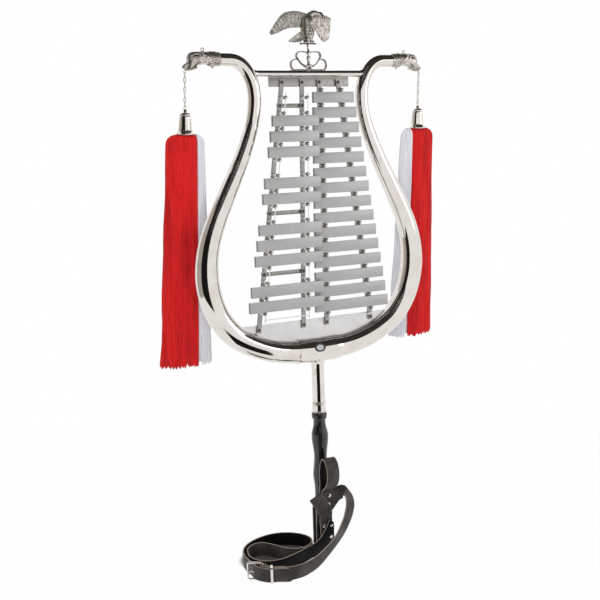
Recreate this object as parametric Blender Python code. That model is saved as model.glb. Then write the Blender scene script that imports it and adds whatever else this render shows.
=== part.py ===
# Bell lyra: tuned bars on a lyre of polished tube, on a turned pole that stands in a leather cradle.
# Metres, +Z up, the front is -Y. The origin is on the floor, under the middle of the pole's foot.
import math

import bmesh
import bpy
from mathutils import Matrix, Vector

# Fit between neighbouring pieces
GAP = 0.0003

# Bars
BAR_SPACE = 0.008
BAR_THICKNESS = 0.007
NATURAL_COUNT = 15
NATURAL_LEFT_TOP = -0.0009
NATURAL_LEFT_STEP = -0.00055
NATURAL_LENGTH_TOP = 0.0868
NATURAL_LENGTH_STEP = 0.0052
SHARP_SLOTS = (2, 3, 4, 6, 7, 9, 10, 11, 13, 14)
SHARP_RIGHT = 0.0028
SHARP_LENGTH_FIRST = 0.0945
SHARP_LENGTH_STEP = 0.0049
CORD_BORE_RADIUS = 0.0019

# Rack that carries the bars
PLATE_THICKNESS = 0.002
TOP_PLATE_HALF_WIDTH = 0.084
TOP_PLATE_HEIGHT = 0.0175
TOP_BAR_DROP = 0.0445
LOWEST_BAR_RISE = 0.0845
RAIL_WIDTH = 0.009
RAIL_THICKNESS = 0.003
RAIL_TOP_MARGIN = 0.0040
RAIL_FOOT_OVERLAP = 0.0150
RAIL_TOP_X = (-0.0575, -0.0168, 0.0192, 0.0590)
RAIL_FOOT_X = (-0.1235, -0.0290, 0.0210, 0.1190)
BOTTOM_PLATE_TOP = 0.0615
BRACE_SLOTS = (1, 8, 12)
BRACE_HEIGHT = 0.008
SCREW_HEAD_RADIUS = 0.0031
SCREW_HEAD_HEIGHT = 0.0018

# Posts and the cords that hang the bars
NATURAL_CORD_Y = -0.0140
SHARP_CORD_Y = -0.0255
CORD_RADIUS = 0.0010
POST_RADIUS = 0.0024
POST_HEAD_RADIUS = 0.0036
POST_HEAD_LENGTH = 0.0070
CORD_TOP_TAIL = 0.0090
CORD_CROSSING_DROP = 0.0105
CORD_BEND_RADIUS = 0.0060

# Lyre frame of tapered tube
BASE_TUBE_RADIUS = 0.0215
NECK_TUBE_RADIUS = 0.0125
END_TUBE_RADIUS = 0.0118
TUBE_WALL = 0.0012
LYRE_HALF_WIDTH = 0.2195
WAIST_HALF_WIDTH = 0.1130
WAIST_RISE = 0.4745
BELLY_RISE = 0.1735
NECK_END_X = 0.1790
NECK_END_RISE = 0.5460
CROSSBAR_RISE = 0.5210
CROSSBAR_RADIUS = 0.0063
TUBE_SIDES = 12
BORE_SIDES = 6

# Base socket, ferrule and pole
SOCKET_HALF_LENGTH = 0.0500
SOCKET_WALL = 0.0021
SOCKET_NECK_RADIUS = 0.0122
SOCKET_NECK_LENGTH = 0.1018
TENON_RADIUS = 0.0085
TENON_LENGTH = 0.0700
FERRULE_LENGTH = 0.0205
FERRULE_RADIUS = 0.0136
POLE_LENGTH = 0.2743
POLE_RADIUS = 0.0132
POLE_SIDES = 14

# Leather
LEATHER = 0.0030
BAND_WIDTH = 0.0260
STRAP_WIDTH = 0.0260
CRADLE_HEIGHT = 0.0850
CRADLE_PLAY = 0.0006
LOOP_TOP = 0.1935
LOOP_PINCH = 0.1220
LOOP_DEPTH = 0.0340
TONGUE_WIDTH = 0.0270
TONGUE_THICKNESS = 0.0024
RIVET_RADIUS = 0.0032
RIVET_HEIGHT = 0.0014

# Buckle
BUCKLE_WIRE = 0.0016
BUCKLE_LENGTH = 0.0279
BUCKLE_PLAY = 0.0009
PRONG_RADIUS = 0.0010
PRONG_SWING = math.radians(10)
KEEPER_THICKNESS = 0.0012
KEEPER_WIDTH = 0.0045
KEEPER_PLAY = 0.0008

# Heads, chains, caps and tassels
HEAD_LENGTH = 0.0600
HEAD_HALF_WIDTH = 0.0120
BEAK_REACH = 0.0705
CHAIN_REACH = 0.0660
CREST_RING_RADIUS = 0.0026
RING_WIRE = 0.0011
CHAIN_LENGTH = 0.0600
LINK_LENGTH = 0.0105
LINK_HALF_WIDTH = 0.0027
LINK_WIRE = 0.0009
EYE_RADIUS = 0.0026
EYE_WIRE = 0.0006
CAP_HEIGHT = 0.0430
CAP_TOP_RADIUS = 0.0100
CAP_RIM_RADIUS = 0.0185
CAP_WALL = 0.0012
CAP_HOLLOW_SIDES = 10
TASSEL_LENGTH = 0.4300
TASSEL_TOP_HALF_WIDTH = 0.0350
TASSEL_END_HALF_WIDTH = 0.0495
TASSEL_TOP_HALF_DEPTH = 0.0170
TASSEL_END_HALF_DEPTH = 0.0200
TASSEL_SPLIT = 0.0180
HANG_TILT = math.radians(7.0)
LEFT_SWAY = math.radians(0.3)
RIGHT_SWAY = math.radians(1.1)

# Finial
FINIAL_HEIGHT = 0.0500
SCROLL_HALF_WIDTH = 0.0350
SCROLL_STRIP = 0.0020
SCROLL_DEPTH = 0.0070
STEM_RADIUS = 0.0024
PERCH_HALF_LENGTH = 0.0170
EAGLE_HEIGHT = 0.0560
WING_SPAN = 0.0700
WING_THICKNESS = 0.0026
WING_SWEEP = math.radians(20)

# Levels worked out from the sizes above
BAR_PITCH = (CROSSBAR_RISE - TOP_BAR_DROP - LOWEST_BAR_RISE) / (NATURAL_COUNT - 1)
BAR_WIDTH = BAR_PITCH - BAR_SPACE
POLE_FOOT_Z = LEATHER + GAP
POLE_TOP_Z = POLE_FOOT_Z + POLE_LENGTH
FERRULE_TOP_Z = POLE_TOP_Z + GAP + FERRULE_LENGTH
BASE_Z = FERRULE_TOP_Z + GAP + SOCKET_NECK_LENGTH
CROSSBAR_Z = BASE_Z + CROSSBAR_RISE
TOP_PLATE_Z = CROSSBAR_Z - CROSSBAR_RADIUS - GAP
FIRST_BAR_Z = CROSSBAR_Z - TOP_BAR_DROP
LAST_BAR_Z = FIRST_BAR_Z - (NATURAL_COUNT - 1) * BAR_PITCH
MOON_TOP_Z = BASE_Z + BOTTOM_PLATE_TOP
RAIL_BACK_Y = -PLATE_THICKNESS / 2 - GAP
RAIL_FRONT_Y = RAIL_BACK_Y - RAIL_THICKNESS
RAIL_TOP_Z = TOP_PLATE_Z - RAIL_TOP_MARGIN
RAIL_FOOT_Z = MOON_TOP_Z - RAIL_FOOT_OVERLAP
LIE_Z = STRAP_WIDTH / 2
HEAD_Z = BASE_Z + NECK_END_RISE

CHROME = ("chrome", (0.78, 0.77, 0.73), 0.08, 1.0)
BAR_METAL = ("bar_aluminium", (0.66, 0.66, 0.66), 0.38, 1.0)
RACK_METAL = ("rack_aluminium", (0.55, 0.55, 0.55), 0.35, 1.0)
CORD_WHITE = ("white_cord", (0.85, 0.85, 0.83), 0.8, 0.0)
LACQUER = ("black_lacquer", (0.03, 0.03, 0.03), 0.25, 0.0)
HIDE = ("brown_leather", (0.07, 0.055, 0.045), 0.55, 0.0)
HAIR_RED = ("red_hair", (0.72, 0.02, 0.02), 0.6, 0.0)
HAIR_WHITE = ("white_hair", (0.85, 0.85, 0.88), 0.6, 0.0)


def clear_scene():
    for old in list(bpy.data.objects):
        bpy.data.objects.remove(old)


def finish_for(recipe):
    name, colour, roughness, metallic = recipe
    material = bpy.data.materials.get(name)
    if material is None:
        material = bpy.data.materials.new(name)
        material.use_nodes = True
        shader = material.node_tree.nodes["Principled BSDF"]
        shader.inputs["Base Color"].default_value = (*colour, 1.0)
        shader.inputs["Roughness"].default_value = roughness
        shader.inputs["Metallic"].default_value = metallic
    return material


def make(name, bm, recipe=None, smooth=True):
    """Turns a bmesh into an object; one with no finish is a guide that only cuts or joins."""
    bmesh.ops.recalc_face_normals(bm, faces=bm.faces)
    mesh = bpy.data.meshes.new(name)
    bm.to_mesh(mesh)
    bm.free()
    if smooth:
        mesh.shade_smooth()
        mesh.set_sharp_from_angle(angle=math.radians(35))
    piece = bpy.data.objects.new(name, mesh)
    bpy.context.collection.objects.link(piece)
    if recipe is None:
        piece.hide_render = True
        piece.display_type = "WIRE"
    else:
        mesh.materials.append(finish_for(recipe))
    return piece


def boolean(piece, other, operation):
    step = piece.modifiers.new(other.name, "BOOLEAN")
    step.operation = operation
    step.solver = "EXACT"
    step.object = other


def join(piece, *others):
    for other in others:
        boolean(piece, other, "UNION")


def cut(piece, *others):
    for other in others:
        boolean(piece, other, "DIFFERENCE")


def mirrored(points):
    return [Vector((-p[0], p[1], p[2])) for p in points]


def smooth_path(points, steps):
    """A Catmull-Rom curve through points of any length, with steps spans between neighbours."""
    rows = [Vector(p) for p in points]
    rows = [2 * rows[0] - rows[1], *rows, 2 * rows[-1] - rows[-2]]
    path = []
    for i in range(1, len(rows) - 2):
        a, b, c, d = rows[i - 1 : i + 3]
        for j in range(steps):
            t = j / steps
            square, cube = 2 * a - 5 * b + 4 * c - d, 3 * b - a - 3 * c + d
            path.append(0.5 * (2 * b + (c - a) * t + square * t**2 + cube * t**3))
    path.append(rows[-2])
    return path


def tangents(path):
    last = len(path) - 1
    return [(path[min(i + 1, last)] - path[max(i - 1, 0)]).normalized() for i in range(last + 1)]


def frames(path, side=Vector((0, 1, 0))):
    """A pair of directions square to the path at each point, carried along it without twist."""
    pairs = []
    for tangent in tangents(path):
        side = (side - side.dot(tangent) * tangent).normalized()
        pairs.append((side, tangent.cross(side)))
    return pairs


def skin(bm, rings, closed=False):
    """Joins rings of as many points into a surface, and caps its two ends unless it closes."""
    rows = [[bm.verts.new(p) for p in ring] for ring in rings]
    count = len(rows[0])
    spans = len(rows) if closed else len(rows) - 1
    for i in range(spans):
        a, b = rows[i], rows[(i + 1) % len(rows)]
        for j in range(count):
            bm.faces.new((a[j], a[(j + 1) % count], b[(j + 1) % count], b[j]))
    if not closed:
        bm.faces.new(rows[0])
        bm.faces.new(reversed(rows[-1]))


def tube(bm, path, radii, sides, closed=False):
    rings = []
    for (u, v), centre, radius in zip(frames(path), path, radii):
        turn = [math.tau * (k + 0.5) / sides for k in range(sides)]
        rings.append([centre + radius * (math.cos(t) * u + math.sin(t) * v) for t in turn])
    skin(bm, rings, closed)


def rod(bm, start, end, radius, sides):
    tube(bm, [Vector(start), Vector(end)], [radius, radius], sides)


def box(bm, low, high):
    low, high = Vector(low), Vector(high)
    place = Matrix.LocRotScale((low + high) / 2, None, high - low)
    bmesh.ops.create_cube(bm, size=1, matrix=place)


def turned(bm, profile, sides):
    """A turned solid about Z from (height, radius) pairs, bottom to top."""
    rings = []
    for height, radius in profile:
        turn = [math.tau * k / sides for k in range(sides)]
        rings.append([Vector((radius * math.cos(t), radius * math.sin(t), height)) for t in turn])
    skin(bm, rings)


def ribbon(bm, path, across, width, thickness):
    """A flat strap along a path; across gives the direction of its width at each point."""
    rings = []
    for tangent, centre, w in zip(tangents(path), path, across):
        w = (w - w.dot(tangent) * tangent).normalized()
        n = tangent.cross(w)
        corners = ((1, 1), (1, -1), (-1, -1), (-1, 1))
        rings.append([centre + w * (a * width / 2) + n * (b * thickness / 2) for a, b in corners])
    skin(bm, rings)


def plate(bm, outline, thickness, y=0.0):
    """A flat plate in the XZ plane, its outline given as (x, z) pairs, centred on y."""
    face = bm.faces.new([bm.verts.new((x, y - thickness / 2, z)) for x, z in outline])
    grown = bmesh.ops.extrude_face_region(bm, geom=[face])["geom"]
    moved = [e for e in grown if isinstance(e, bmesh.types.BMVert)]
    bmesh.ops.translate(bm, verts=moved, vec=(0, thickness, 0))


# Lyre frame

def arm_path(steps=2):
    """The middle line of the right arm, from the middle of the base up to the head."""
    belly, waist = LYRE_HALF_WIDTH, WAIST_HALF_WIDTH
    low = BELLY_RISE
    swing = belly - waist
    climb = WAIST_RISE - BELLY_RISE
    points = [
        (0.0, 0.0),
        (0.21 * belly, 0.010 * low),
        (0.41 * belly, 0.048 * low),
        (0.61 * belly, 0.140 * low),
        (0.785 * belly, 0.280 * low),
        (0.916 * belly, 0.495 * low),
        (0.986 * belly, 0.750 * low),
        (belly, low),
        (waist + 0.939 * swing, low + 0.140 * climb),
        (waist + 0.795 * swing, low + 0.280 * climb),
        (waist + 0.573 * swing, low + 0.442 * climb),
        (waist + 0.347 * swing, low + 0.601 * climb),
        (waist + 0.160 * swing, low + 0.754 * climb),
        (waist + 0.043 * swing, low + 0.884 * climb),
        (waist, low + climb),
        (waist + 0.055 * (NECK_END_X - waist), WAIST_RISE + 0.42 * (NECK_END_RISE - WAIST_RISE)),
        (waist + 0.245 * (NECK_END_X - waist), WAIST_RISE + 0.77 * (NECK_END_RISE - WAIST_RISE)),
        (waist + 0.550 * (NECK_END_X - waist), WAIST_RISE + 0.97 * (NECK_END_RISE - WAIST_RISE)),
        (NECK_END_X, NECK_END_RISE),
    ]
    return smooth_path([(x, 0.0, BASE_Z + z) for x, z in points], steps)


def arm_radius(point):
    """The tube tapers from the belly of the lyre to its waist, and a little more to its end."""
    rise = point.z - BASE_Z
    share = (WAIST_RISE - 0.04 - rise) / (WAIST_RISE - 0.04 - BELLY_RISE + 0.02)
    radius = NECK_TUBE_RADIUS + (BASE_TUBE_RADIUS - NECK_TUBE_RADIUS) * min(max(share, 0.0), 1.0)
    if rise > WAIST_RISE:
        share = (abs(point.x) - WAIST_HALF_WIDTH) / (NECK_END_X - WAIST_HALF_WIDTH)
        radius += (END_TUBE_RADIUS - NECK_TUBE_RADIUS) * min(share, 1.0)
    return radius


def arm_tube(bm, path, extra, sides):
    tube(bm, path, [arm_radius(p) + extra for p in path], sides)


def arm_x_at(height):
    """How far out the upper arm's middle line is at a height above the waist."""
    path = [p for p in arm_path(6) if p.z > BASE_Z + WAIST_RISE]
    return min(path, key=lambda p: abs(p.z - height)).x


def make_arms():
    start = Vector((GAP, 0, BASE_Z))
    for name, side in (("arm_left", -1), ("arm_right", 1)):
        square = start + Vector((0.004, 0, 0))
        path = [start, square, *arm_path()[1:]]
        path.insert(-1, path[-1] - Vector((0.003, 0, 0)))
        beyond = path[-1] + Vector((0.01, 0, 0))
        hollow = [start - Vector((0.01, 0, 0)), *path[1:], beyond]
        if side < 0:
            path, hollow = mirrored(path), mirrored(hollow)
        bm = bmesh.new()
        arm_tube(bm, path, 0.0, TUBE_SIDES)
        arm = make(name, bm, CHROME)
        bm = bmesh.new()
        arm_tube(bm, hollow, -TUBE_WALL, BORE_SIDES)
        cut(arm, make(name + "_bore", bm))


def arm_clearance(name, side):
    """A solid a little fatter than an arm, which cuts room for it in what meets it."""
    path = [Vector((-0.02 * side, 0, BASE_Z)), *arm_path()[1:]]
    if side < 0:
        path = [Vector((0.02, 0, BASE_Z)), *mirrored(arm_path()[1:])]
    bm = bmesh.new()
    arm_tube(bm, path, GAP, TUBE_SIDES)
    return make(name, bm)


def make_crossbar(left, right):
    reach = arm_x_at(CROSSBAR_Z)
    bm = bmesh.new()
    rod(bm, (-reach, 0, CROSSBAR_Z), (reach, 0, CROSSBAR_Z), CROSSBAR_RADIUS, TUBE_SIDES)
    crossbar = make("crossbar", bm, CHROME)
    cut(crossbar, left, right)


def make_base_socket(left, right):
    """The tee under the lyre: a sleeve round both arms and a neck that takes the pole's tenon."""
    path = [p for p in arm_path(2) if p.x < SOCKET_HALF_LENGTH]
    path = mirrored(reversed(path[1:])) + path
    radius = BASE_TUBE_RADIUS + GAP + SOCKET_WALL
    bm = bmesh.new()
    tube(bm, path, [radius] * len(path), TUBE_SIDES)
    socket = make("base_socket", bm, CHROME)
    flare = 0.35 * BASE_TUBE_RADIUS
    neck = [
        (FERRULE_TOP_Z + GAP, SOCKET_NECK_RADIUS),
        (BASE_Z - radius - 1.2 * flare, SOCKET_NECK_RADIUS),
        (BASE_Z - radius - 0.2 * flare, SOCKET_NECK_RADIUS + 0.25 * flare),
        (BASE_Z - 0.75 * radius, SOCKET_NECK_RADIUS + 0.8 * flare),
        (BASE_Z - 0.1 * radius, SOCKET_NECK_RADIUS + 0.9 * flare),
    ]
    bm = bmesh.new()
    turned(bm, neck, 12)
    join(socket, make("base_socket_neck", bm))
    bm = bmesh.new()
    badge = Matrix.LocRotScale((0, -radius - 0.0002, BASE_Z + 0.003), None, (0.0105, 0.0016, 0.0072))
    bmesh.ops.create_uvsphere(bm, u_segments=12, v_segments=6, radius=1, matrix=badge)
    join(socket, make("base_socket_badge", bm))
    cut(socket, left, right)
    bm = bmesh.new()
    bore = TENON_RADIUS + GAP
    turned(bm, [(FERRULE_TOP_Z - GAP, bore), (BASE_Z, bore)], 12)
    cut(socket, make("base_socket_bore", bm))


# The pole's turned outline: shares of its length and of its radius, from the foot up
POLE_SHAPE = [
    (0.0, 0.84),
    (0.006, 0.93),
    (0.016, 0.99),
    (0.42, 0.98),
    (0.475, 1.02),
    (0.535, 1.17),
    (0.575, 1.13),
    (0.66, 0.955),
    (0.72, 1.0),
    (0.80, 1.21),
    (0.845, 1.22),
    (0.905, 0.93),
    (0.945, 0.91),
    (0.962, 1.09),
    (0.985, 1.12),
    (1.0, 1.04),
]


def pole_radius(height):
    share = (height - POLE_FOOT_Z) / POLE_LENGTH
    for (low, a), (high, b) in zip(POLE_SHAPE, POLE_SHAPE[1:]):
        if share <= high:
            return POLE_RADIUS * (a + (b - a) * (share - low) / (high - low))
    return POLE_RADIUS


def widest_below(height):
    """The widest that the pole is up to a height, all of which passes there as it lifts out."""
    steps = 24
    return max(pole_radius(POLE_FOOT_Z + (height - POLE_FOOT_Z) * i / steps) for i in range(steps + 1))


def make_pole():
    """The turned wooden pole, its tenon up in the neck, and the ferrule between them."""
    profile = [(POLE_FOOT_Z + POLE_LENGTH * share, POLE_RADIUS * k) for share, k in POLE_SHAPE]
    top = POLE_TOP_Z + TENON_LENGTH
    profile += [(POLE_TOP_Z, TENON_RADIUS), (top, TENON_RADIUS)]
    bm = bmesh.new()
    turned(bm, profile, POLE_SIDES)
    make("pole_grip", bm, LACQUER)

    low, high = POLE_TOP_Z + GAP, FERRULE_TOP_Z
    bead = 0.0022
    profile = [
        (low, FERRULE_RADIUS - 0.0006),
        (low + 0.6 * bead, FERRULE_RADIUS + 0.0004),
        (low + 1.2 * bead, FERRULE_RADIUS - 0.0007),
        (high - 2.4 * bead, FERRULE_RADIUS - 0.0010),
        (high - 1.8 * bead, FERRULE_RADIUS),
        (high - 1.2 * bead, FERRULE_RADIUS - 0.0010),
        (high - 0.6 * bead, FERRULE_RADIUS - 0.0002),
        (high, SOCKET_NECK_RADIUS + 0.0004),
    ]
    bm = bmesh.new()
    turned(bm, profile, 16)
    ferrule = make("pole_ferrule", bm, CHROME)
    bm = bmesh.new()
    bore = TENON_RADIUS + GAP
    turned(bm, [(low - 0.01, bore), (high + 0.01, bore)], 12)
    cut(ferrule, make("pole_ferrule_bore", bm))


# Rack of bars

def bar_z(index):
    return FIRST_BAR_Z - index * BAR_PITCH


def slot_z(slot):
    return FIRST_BAR_Z - (slot - 0.5) * BAR_PITCH


def rail_x(index, height):
    share = (RAIL_TOP_Z - height) / (RAIL_TOP_Z - RAIL_FOOT_Z)
    return RAIL_TOP_X[index] + (RAIL_FOOT_X[index] - RAIL_TOP_X[index]) * share


def cord_line(index, cord_y, top, bottom, radius, sides, name):
    """A straight guide along one rail's cord, which bores what the cord passes through."""
    bm = bmesh.new()
    rod(bm, (rail_x(index, top), cord_y, top), (rail_x(index, bottom), cord_y, bottom), radius, sides)
    return make(name, bm)


def make_bar(name, left, right, height, cord_y, rails, bores):
    bm = bmesh.new()
    half = Vector((0, BAR_THICKNESS / 2, BAR_WIDTH / 2))
    box(bm, Vector((left, cord_y, height)) - half, Vector((right, cord_y, height)) + half)
    cut(make(name, bm, BAR_METAL), *[bores[k] for k in rails])


def make_bars(bores):
    for i in range(NATURAL_COUNT):
        left = NATURAL_LEFT_TOP + NATURAL_LEFT_STEP * i
        right = left + NATURAL_LENGTH_TOP + NATURAL_LENGTH_STEP * i
        make_bar(f"bar_natural_{i + 1:02d}", left, right, bar_z(i), NATURAL_CORD_Y, (2, 3), bores)
    for i, slot in enumerate(SHARP_SLOTS):
        left = SHARP_RIGHT - SHARP_LENGTH_FIRST - SHARP_LENGTH_STEP * (slot - SHARP_SLOTS[0])
        make_bar(f"bar_sharp_{i + 1:02d}", left, SHARP_RIGHT, slot_z(slot), SHARP_CORD_Y, (0, 1), bores)


def post_heights(index):
    """Posts stand in each gap between bars, the sharps' posts level with the naturals."""
    if index < 2:
        return [bar_z(i) for i in range(NATURAL_COUNT)]
    return [bar_z(i - 0.5) for i in range(NATURAL_COUNT + 1)]


def make_rail(index, bores):
    """A flat rail with its posts and the heads of its screws, all on its front."""
    cord_y = SHARP_CORD_Y if index < 2 else NATURAL_CORD_Y
    half = RAIL_WIDTH / 2
    top, foot = rail_x(index, RAIL_TOP_Z), rail_x(index, RAIL_FOOT_Z)
    outline = [(top - half, RAIL_TOP_Z), (foot - half, RAIL_FOOT_Z)]
    outline += [(foot + half, RAIL_FOOT_Z), (top + half, RAIL_TOP_Z)]
    bm = bmesh.new()
    plate(bm, outline, RAIL_THICKNESS, (RAIL_FRONT_Y + RAIL_BACK_Y) / 2)
    rail = make(f"rail_{index + 1}", bm, RACK_METAL)

    inside = RAIL_FRONT_Y + RAIL_THICKNESS / 2
    head_back = cord_y + POST_HEAD_LENGTH / 2
    bm = bmesh.new()
    for height in post_heights(index):
        x = rail_x(index, height)
        path = [Vector((x, y, height)) for y in (inside, head_back, head_back, head_back - POST_HEAD_LENGTH)]
        path[2] = path[1] + (path[3] - path[1]) * 0.08
        radii = [POST_RADIUS, POST_RADIUS, POST_HEAD_RADIUS, POST_HEAD_RADIUS]
        rings = []
        for centre, radius in zip(path, radii):
            turn = [math.tau * k / 6 for k in range(6)]
            rings.append([centre + radius * Vector((math.cos(t), 0, math.sin(t))) for t in turn])
        skin(bm, rings)
    join(rail, make(f"rail_{index + 1}_posts", bm))

    screws = [RAIL_TOP_Z - 0.6 * RAIL_WIDTH, RAIL_FOOT_Z + 0.6 * RAIL_WIDTH]
    if index < 2:
        screws += [slot_z(slot) for slot in BRACE_SLOTS]
    bm = bmesh.new()
    for height in screws:
        x = rail_x(index, height)
        rod(bm, (x, inside, height), (x, RAIL_FRONT_Y - SCREW_HEAD_HEIGHT, height), SCREW_HEAD_RADIUS, 8)
    join(rail, make(f"rail_{index + 1}_screws", bm))
    cut(rail, bores[index])


def make_rack(left, right):
    bores = []
    for index in range(4):
        cord_y = SHARP_CORD_Y if index < 2 else NATURAL_CORD_Y
        top, bottom = RAIL_TOP_Z, RAIL_FOOT_Z
        bores.append(cord_line(index, cord_y, top, bottom, CORD_BORE_RADIUS, 4, f"cord_line_{index + 1}"))
    make_bars(bores)
    for index in range(4):
        make_rail(index, bores)

    half = PLATE_THICKNESS / 2
    bm = bmesh.new()
    low = (-TOP_PLATE_HALF_WIDTH, -half, TOP_PLATE_Z - TOP_PLATE_HEIGHT)
    box(bm, low, (TOP_PLATE_HALF_WIDTH, half, TOP_PLATE_Z))
    make("top_plate", bm, RACK_METAL)

    low_arm = [p for p in arm_path(4) if p.z < MOON_TOP_Z]
    reach = low_arm[-1].x + 0.35 * BASE_TUBE_RADIUS
    outline = [(-p.x, p.z) for p in reversed(low_arm)] + [(p.x, p.z) for p in low_arm[1:]]
    outline += [(reach, MOON_TOP_Z), (-reach, MOON_TOP_Z)]
    bm = bmesh.new()
    plate(bm, outline, PLATE_THICKNESS)
    moon = make("bottom_plate", bm, RACK_METAL)
    cut(moon, left, right)
    path = [p for p in arm_path(2) if p.x < SOCKET_HALF_LENGTH]
    path.append(path[-1] + (path[-1] - path[-2]).normalized() * GAP)
    path = mirrored(reversed(path[1:])) + path
    bm = bmesh.new()
    tube(bm, path, [BASE_TUBE_RADIUS + 2 * GAP + SOCKET_WALL] * len(path), TUBE_SIDES)
    cut(moon, make("bottom_plate_seat", bm))

    for number, slot in enumerate(BRACE_SLOTS):
        z = slot_z(slot)
        ends = [rail_x(k, z) for k in (0, 1)]
        bm = bmesh.new()
        low = (ends[0] - RAIL_WIDTH / 2, -half, z - BRACE_HEIGHT / 2)
        box(bm, low, (ends[1] + RAIL_WIDTH / 2, half, z + BRACE_HEIGHT / 2))
        make(f"brace_{number + 1}", bm, RACK_METAL)


def make_cord(name, first, second, cord_y):
    """One cord: down beside one rail, across under the lowest bar and up beside the next."""
    top = post_heights(first)[0] + CORD_TOP_TAIL
    low = post_heights(first)[-1] - CORD_CROSSING_DROP
    turn = low + CORD_BEND_RADIUS
    points = [Vector((rail_x(first, top), cord_y, top)), Vector((rail_x(first, turn), cord_y, turn))]
    inward = CORD_BEND_RADIUS
    points.append(Vector((rail_x(first, low) + 0.3 * inward, cord_y, low + 0.3 * inward)))
    points.append(Vector((rail_x(first, low) + inward, cord_y, low)))
    points.append(Vector((rail_x(second, low) - inward, cord_y, low)))
    points.append(Vector((rail_x(second, low) - 0.3 * inward, cord_y, low + 0.3 * inward)))
    points += [Vector((rail_x(second, turn), cord_y, turn)), Vector((rail_x(second, top), cord_y, top))]
    bm = bmesh.new()
    tube(bm, points, [CORD_RADIUS] * len(points), 6)
    make(name, bm, CORD_WHITE)


# Leather cradle and strap

def make_cradle():
    """One band that runs down behind the pole, under its foot, up the front and round in a loop."""
    middle = POLE_RADIUS + CRADLE_PLAY + LEATHER / 2
    bend = 0.0040
    lift = LEATHER / 2
    pinch = -middle - 2 * LEATHER - 3 * GAP
    front = -middle - LOOP_DEPTH
    rise = LOOP_TOP - LOOP_PINCH
    hug = [LOOP_PINCH + rise * share for share in (0.20, 0.40, 0.62)]
    points = [
        (middle, CRADLE_HEIGHT),
        (middle, bend + lift),
        (middle - 0.3 * bend, lift + 0.3 * bend),
        (middle - bend, lift),
        (-middle + bend, lift),
        (-middle + 0.3 * bend, lift + 0.3 * bend),
        (-middle, bend + lift),
        (-middle, LOOP_PINCH - 0.004),
        (-middle, LOOP_PINCH + 0.004),
        *[(-widest_below(z) - CRADLE_PLAY - LEATHER / 2, z) for z in hug],
        (-middle - 0.22 * LOOP_DEPTH, LOOP_TOP - 0.11 * rise),
        (-middle - 0.50 * LOOP_DEPTH, LOOP_TOP),
        (front + 0.15 * LOOP_DEPTH, LOOP_TOP - 0.12 * rise),
        (front, LOOP_PINCH + 0.60 * rise),
        (front + 0.18 * LOOP_DEPTH, LOOP_PINCH + 0.32 * rise),
        (pinch - 0.0022, LOOP_PINCH + 0.08 * rise),
        (pinch, LOOP_PINCH - 0.002),
        (pinch, LOOP_PINCH - 0.012),
    ]
    path = [Vector((0, y, z)) for y, z in points]
    path = path[:7] + smooth_path(path[7:-1], 2) + path[-1:]
    bm = bmesh.new()
    ribbon(bm, path, [Vector((1, 0, 0))] * len(path), BAND_WIDTH, LEATHER)
    band = make("leather_cradle", bm, HIDE)

    face = -middle - LEATHER / 2
    seat = face - TONGUE_THICKNESS / 2 + GAP
    tongue = [
        Vector((-0.0010, seat, 0.0420)),
        Vector((-0.0010, seat, 0.0540)),
        Vector((-0.0020, seat, 0.0700)),
        Vector((-0.0040, face - 0.0056, 0.0815)),
        Vector((-0.0120, face - 0.0100, 0.0970)),
        Vector((-0.0230, face - 0.0150, 0.1110)),
        Vector((-0.0325, face - 0.0185, 0.1245)),
    ]
    across = [(1, 0, 0), (1, 0, 0), (1, 0, 0.04), (0.99, 0, 0.12)]
    across += [(0.92, -0.1, 0.36), (0.80, -0.2, 0.55), (0.71, -0.28, 0.64)]
    path, sides = strap_course(tongue, across, 2)
    bm = bmesh.new()
    ribbon(bm, path, sides, TONGUE_WIDTH, TONGUE_THICKNESS)
    join(band, make("leather_cradle_tongue", bm))
    join(band, rivet("leather_cradle_rivet", (0.0050, pinch, LOOP_PINCH - 0.006), (0, -1, 0)))


def strap_course(points, across, steps):
    """A smooth path through chosen points, with its width direction carried along."""
    path = smooth_path(points, steps)
    spans = len(points) - 1
    sides = []
    for i in range(len(path)):
        place = min(i / steps, spans)
        low = min(int(place), spans - 1)
        sides.append(Vector(across[low]).lerp(Vector(across[low + 1]), place - low).normalized())
    return path, sides


def rivet(name, place, face):
    """A domed head that stands on the face of a strap whose middle is at place."""
    place, face = Vector(place), Vector(face)
    rise = (-LEATHER / 4, LEATHER / 2 + 0.4 * RIVET_HEIGHT, LEATHER / 2 + RIVET_HEIGHT)
    bm = bmesh.new()
    tube(bm, [place + face * k for k in rise], [RIVET_RADIUS, RIVET_RADIUS, 0.45 * RIVET_RADIUS], 6)
    return make(name, bm)


def strap_piece(name, points, across, steps, rivets=()):
    path, sides = strap_course(points, across, steps)
    bm = bmesh.new()
    ribbon(bm, path, sides, STRAP_WIDTH, LEATHER)
    strap = make(name, bm, HIDE)
    for number, (place, face) in enumerate(rivets):
        join(strap, rivet(f"{name}_rivet_{number + 1}", place, face))
    return strap


def front_y():
    """The front face of the cradle's front leg."""
    return -(POLE_RADIUS + CRADLE_PLAY + LEATHER)


# The buckle stands where the strap's two pieces meet
BUCKLE_FAR = Vector((-0.1835, -0.0460, 0))
BUCKLE_NEAR = Vector((-0.1610, -0.0625, 0))
BUCKLE_Z = GAP + 2 * BUCKLE_WIRE + BUCKLE_PLAY + LIE_Z
KEEPER_Z = GAP + KEEPER_THICKNESS + KEEPER_PLAY + LIE_Z


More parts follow.
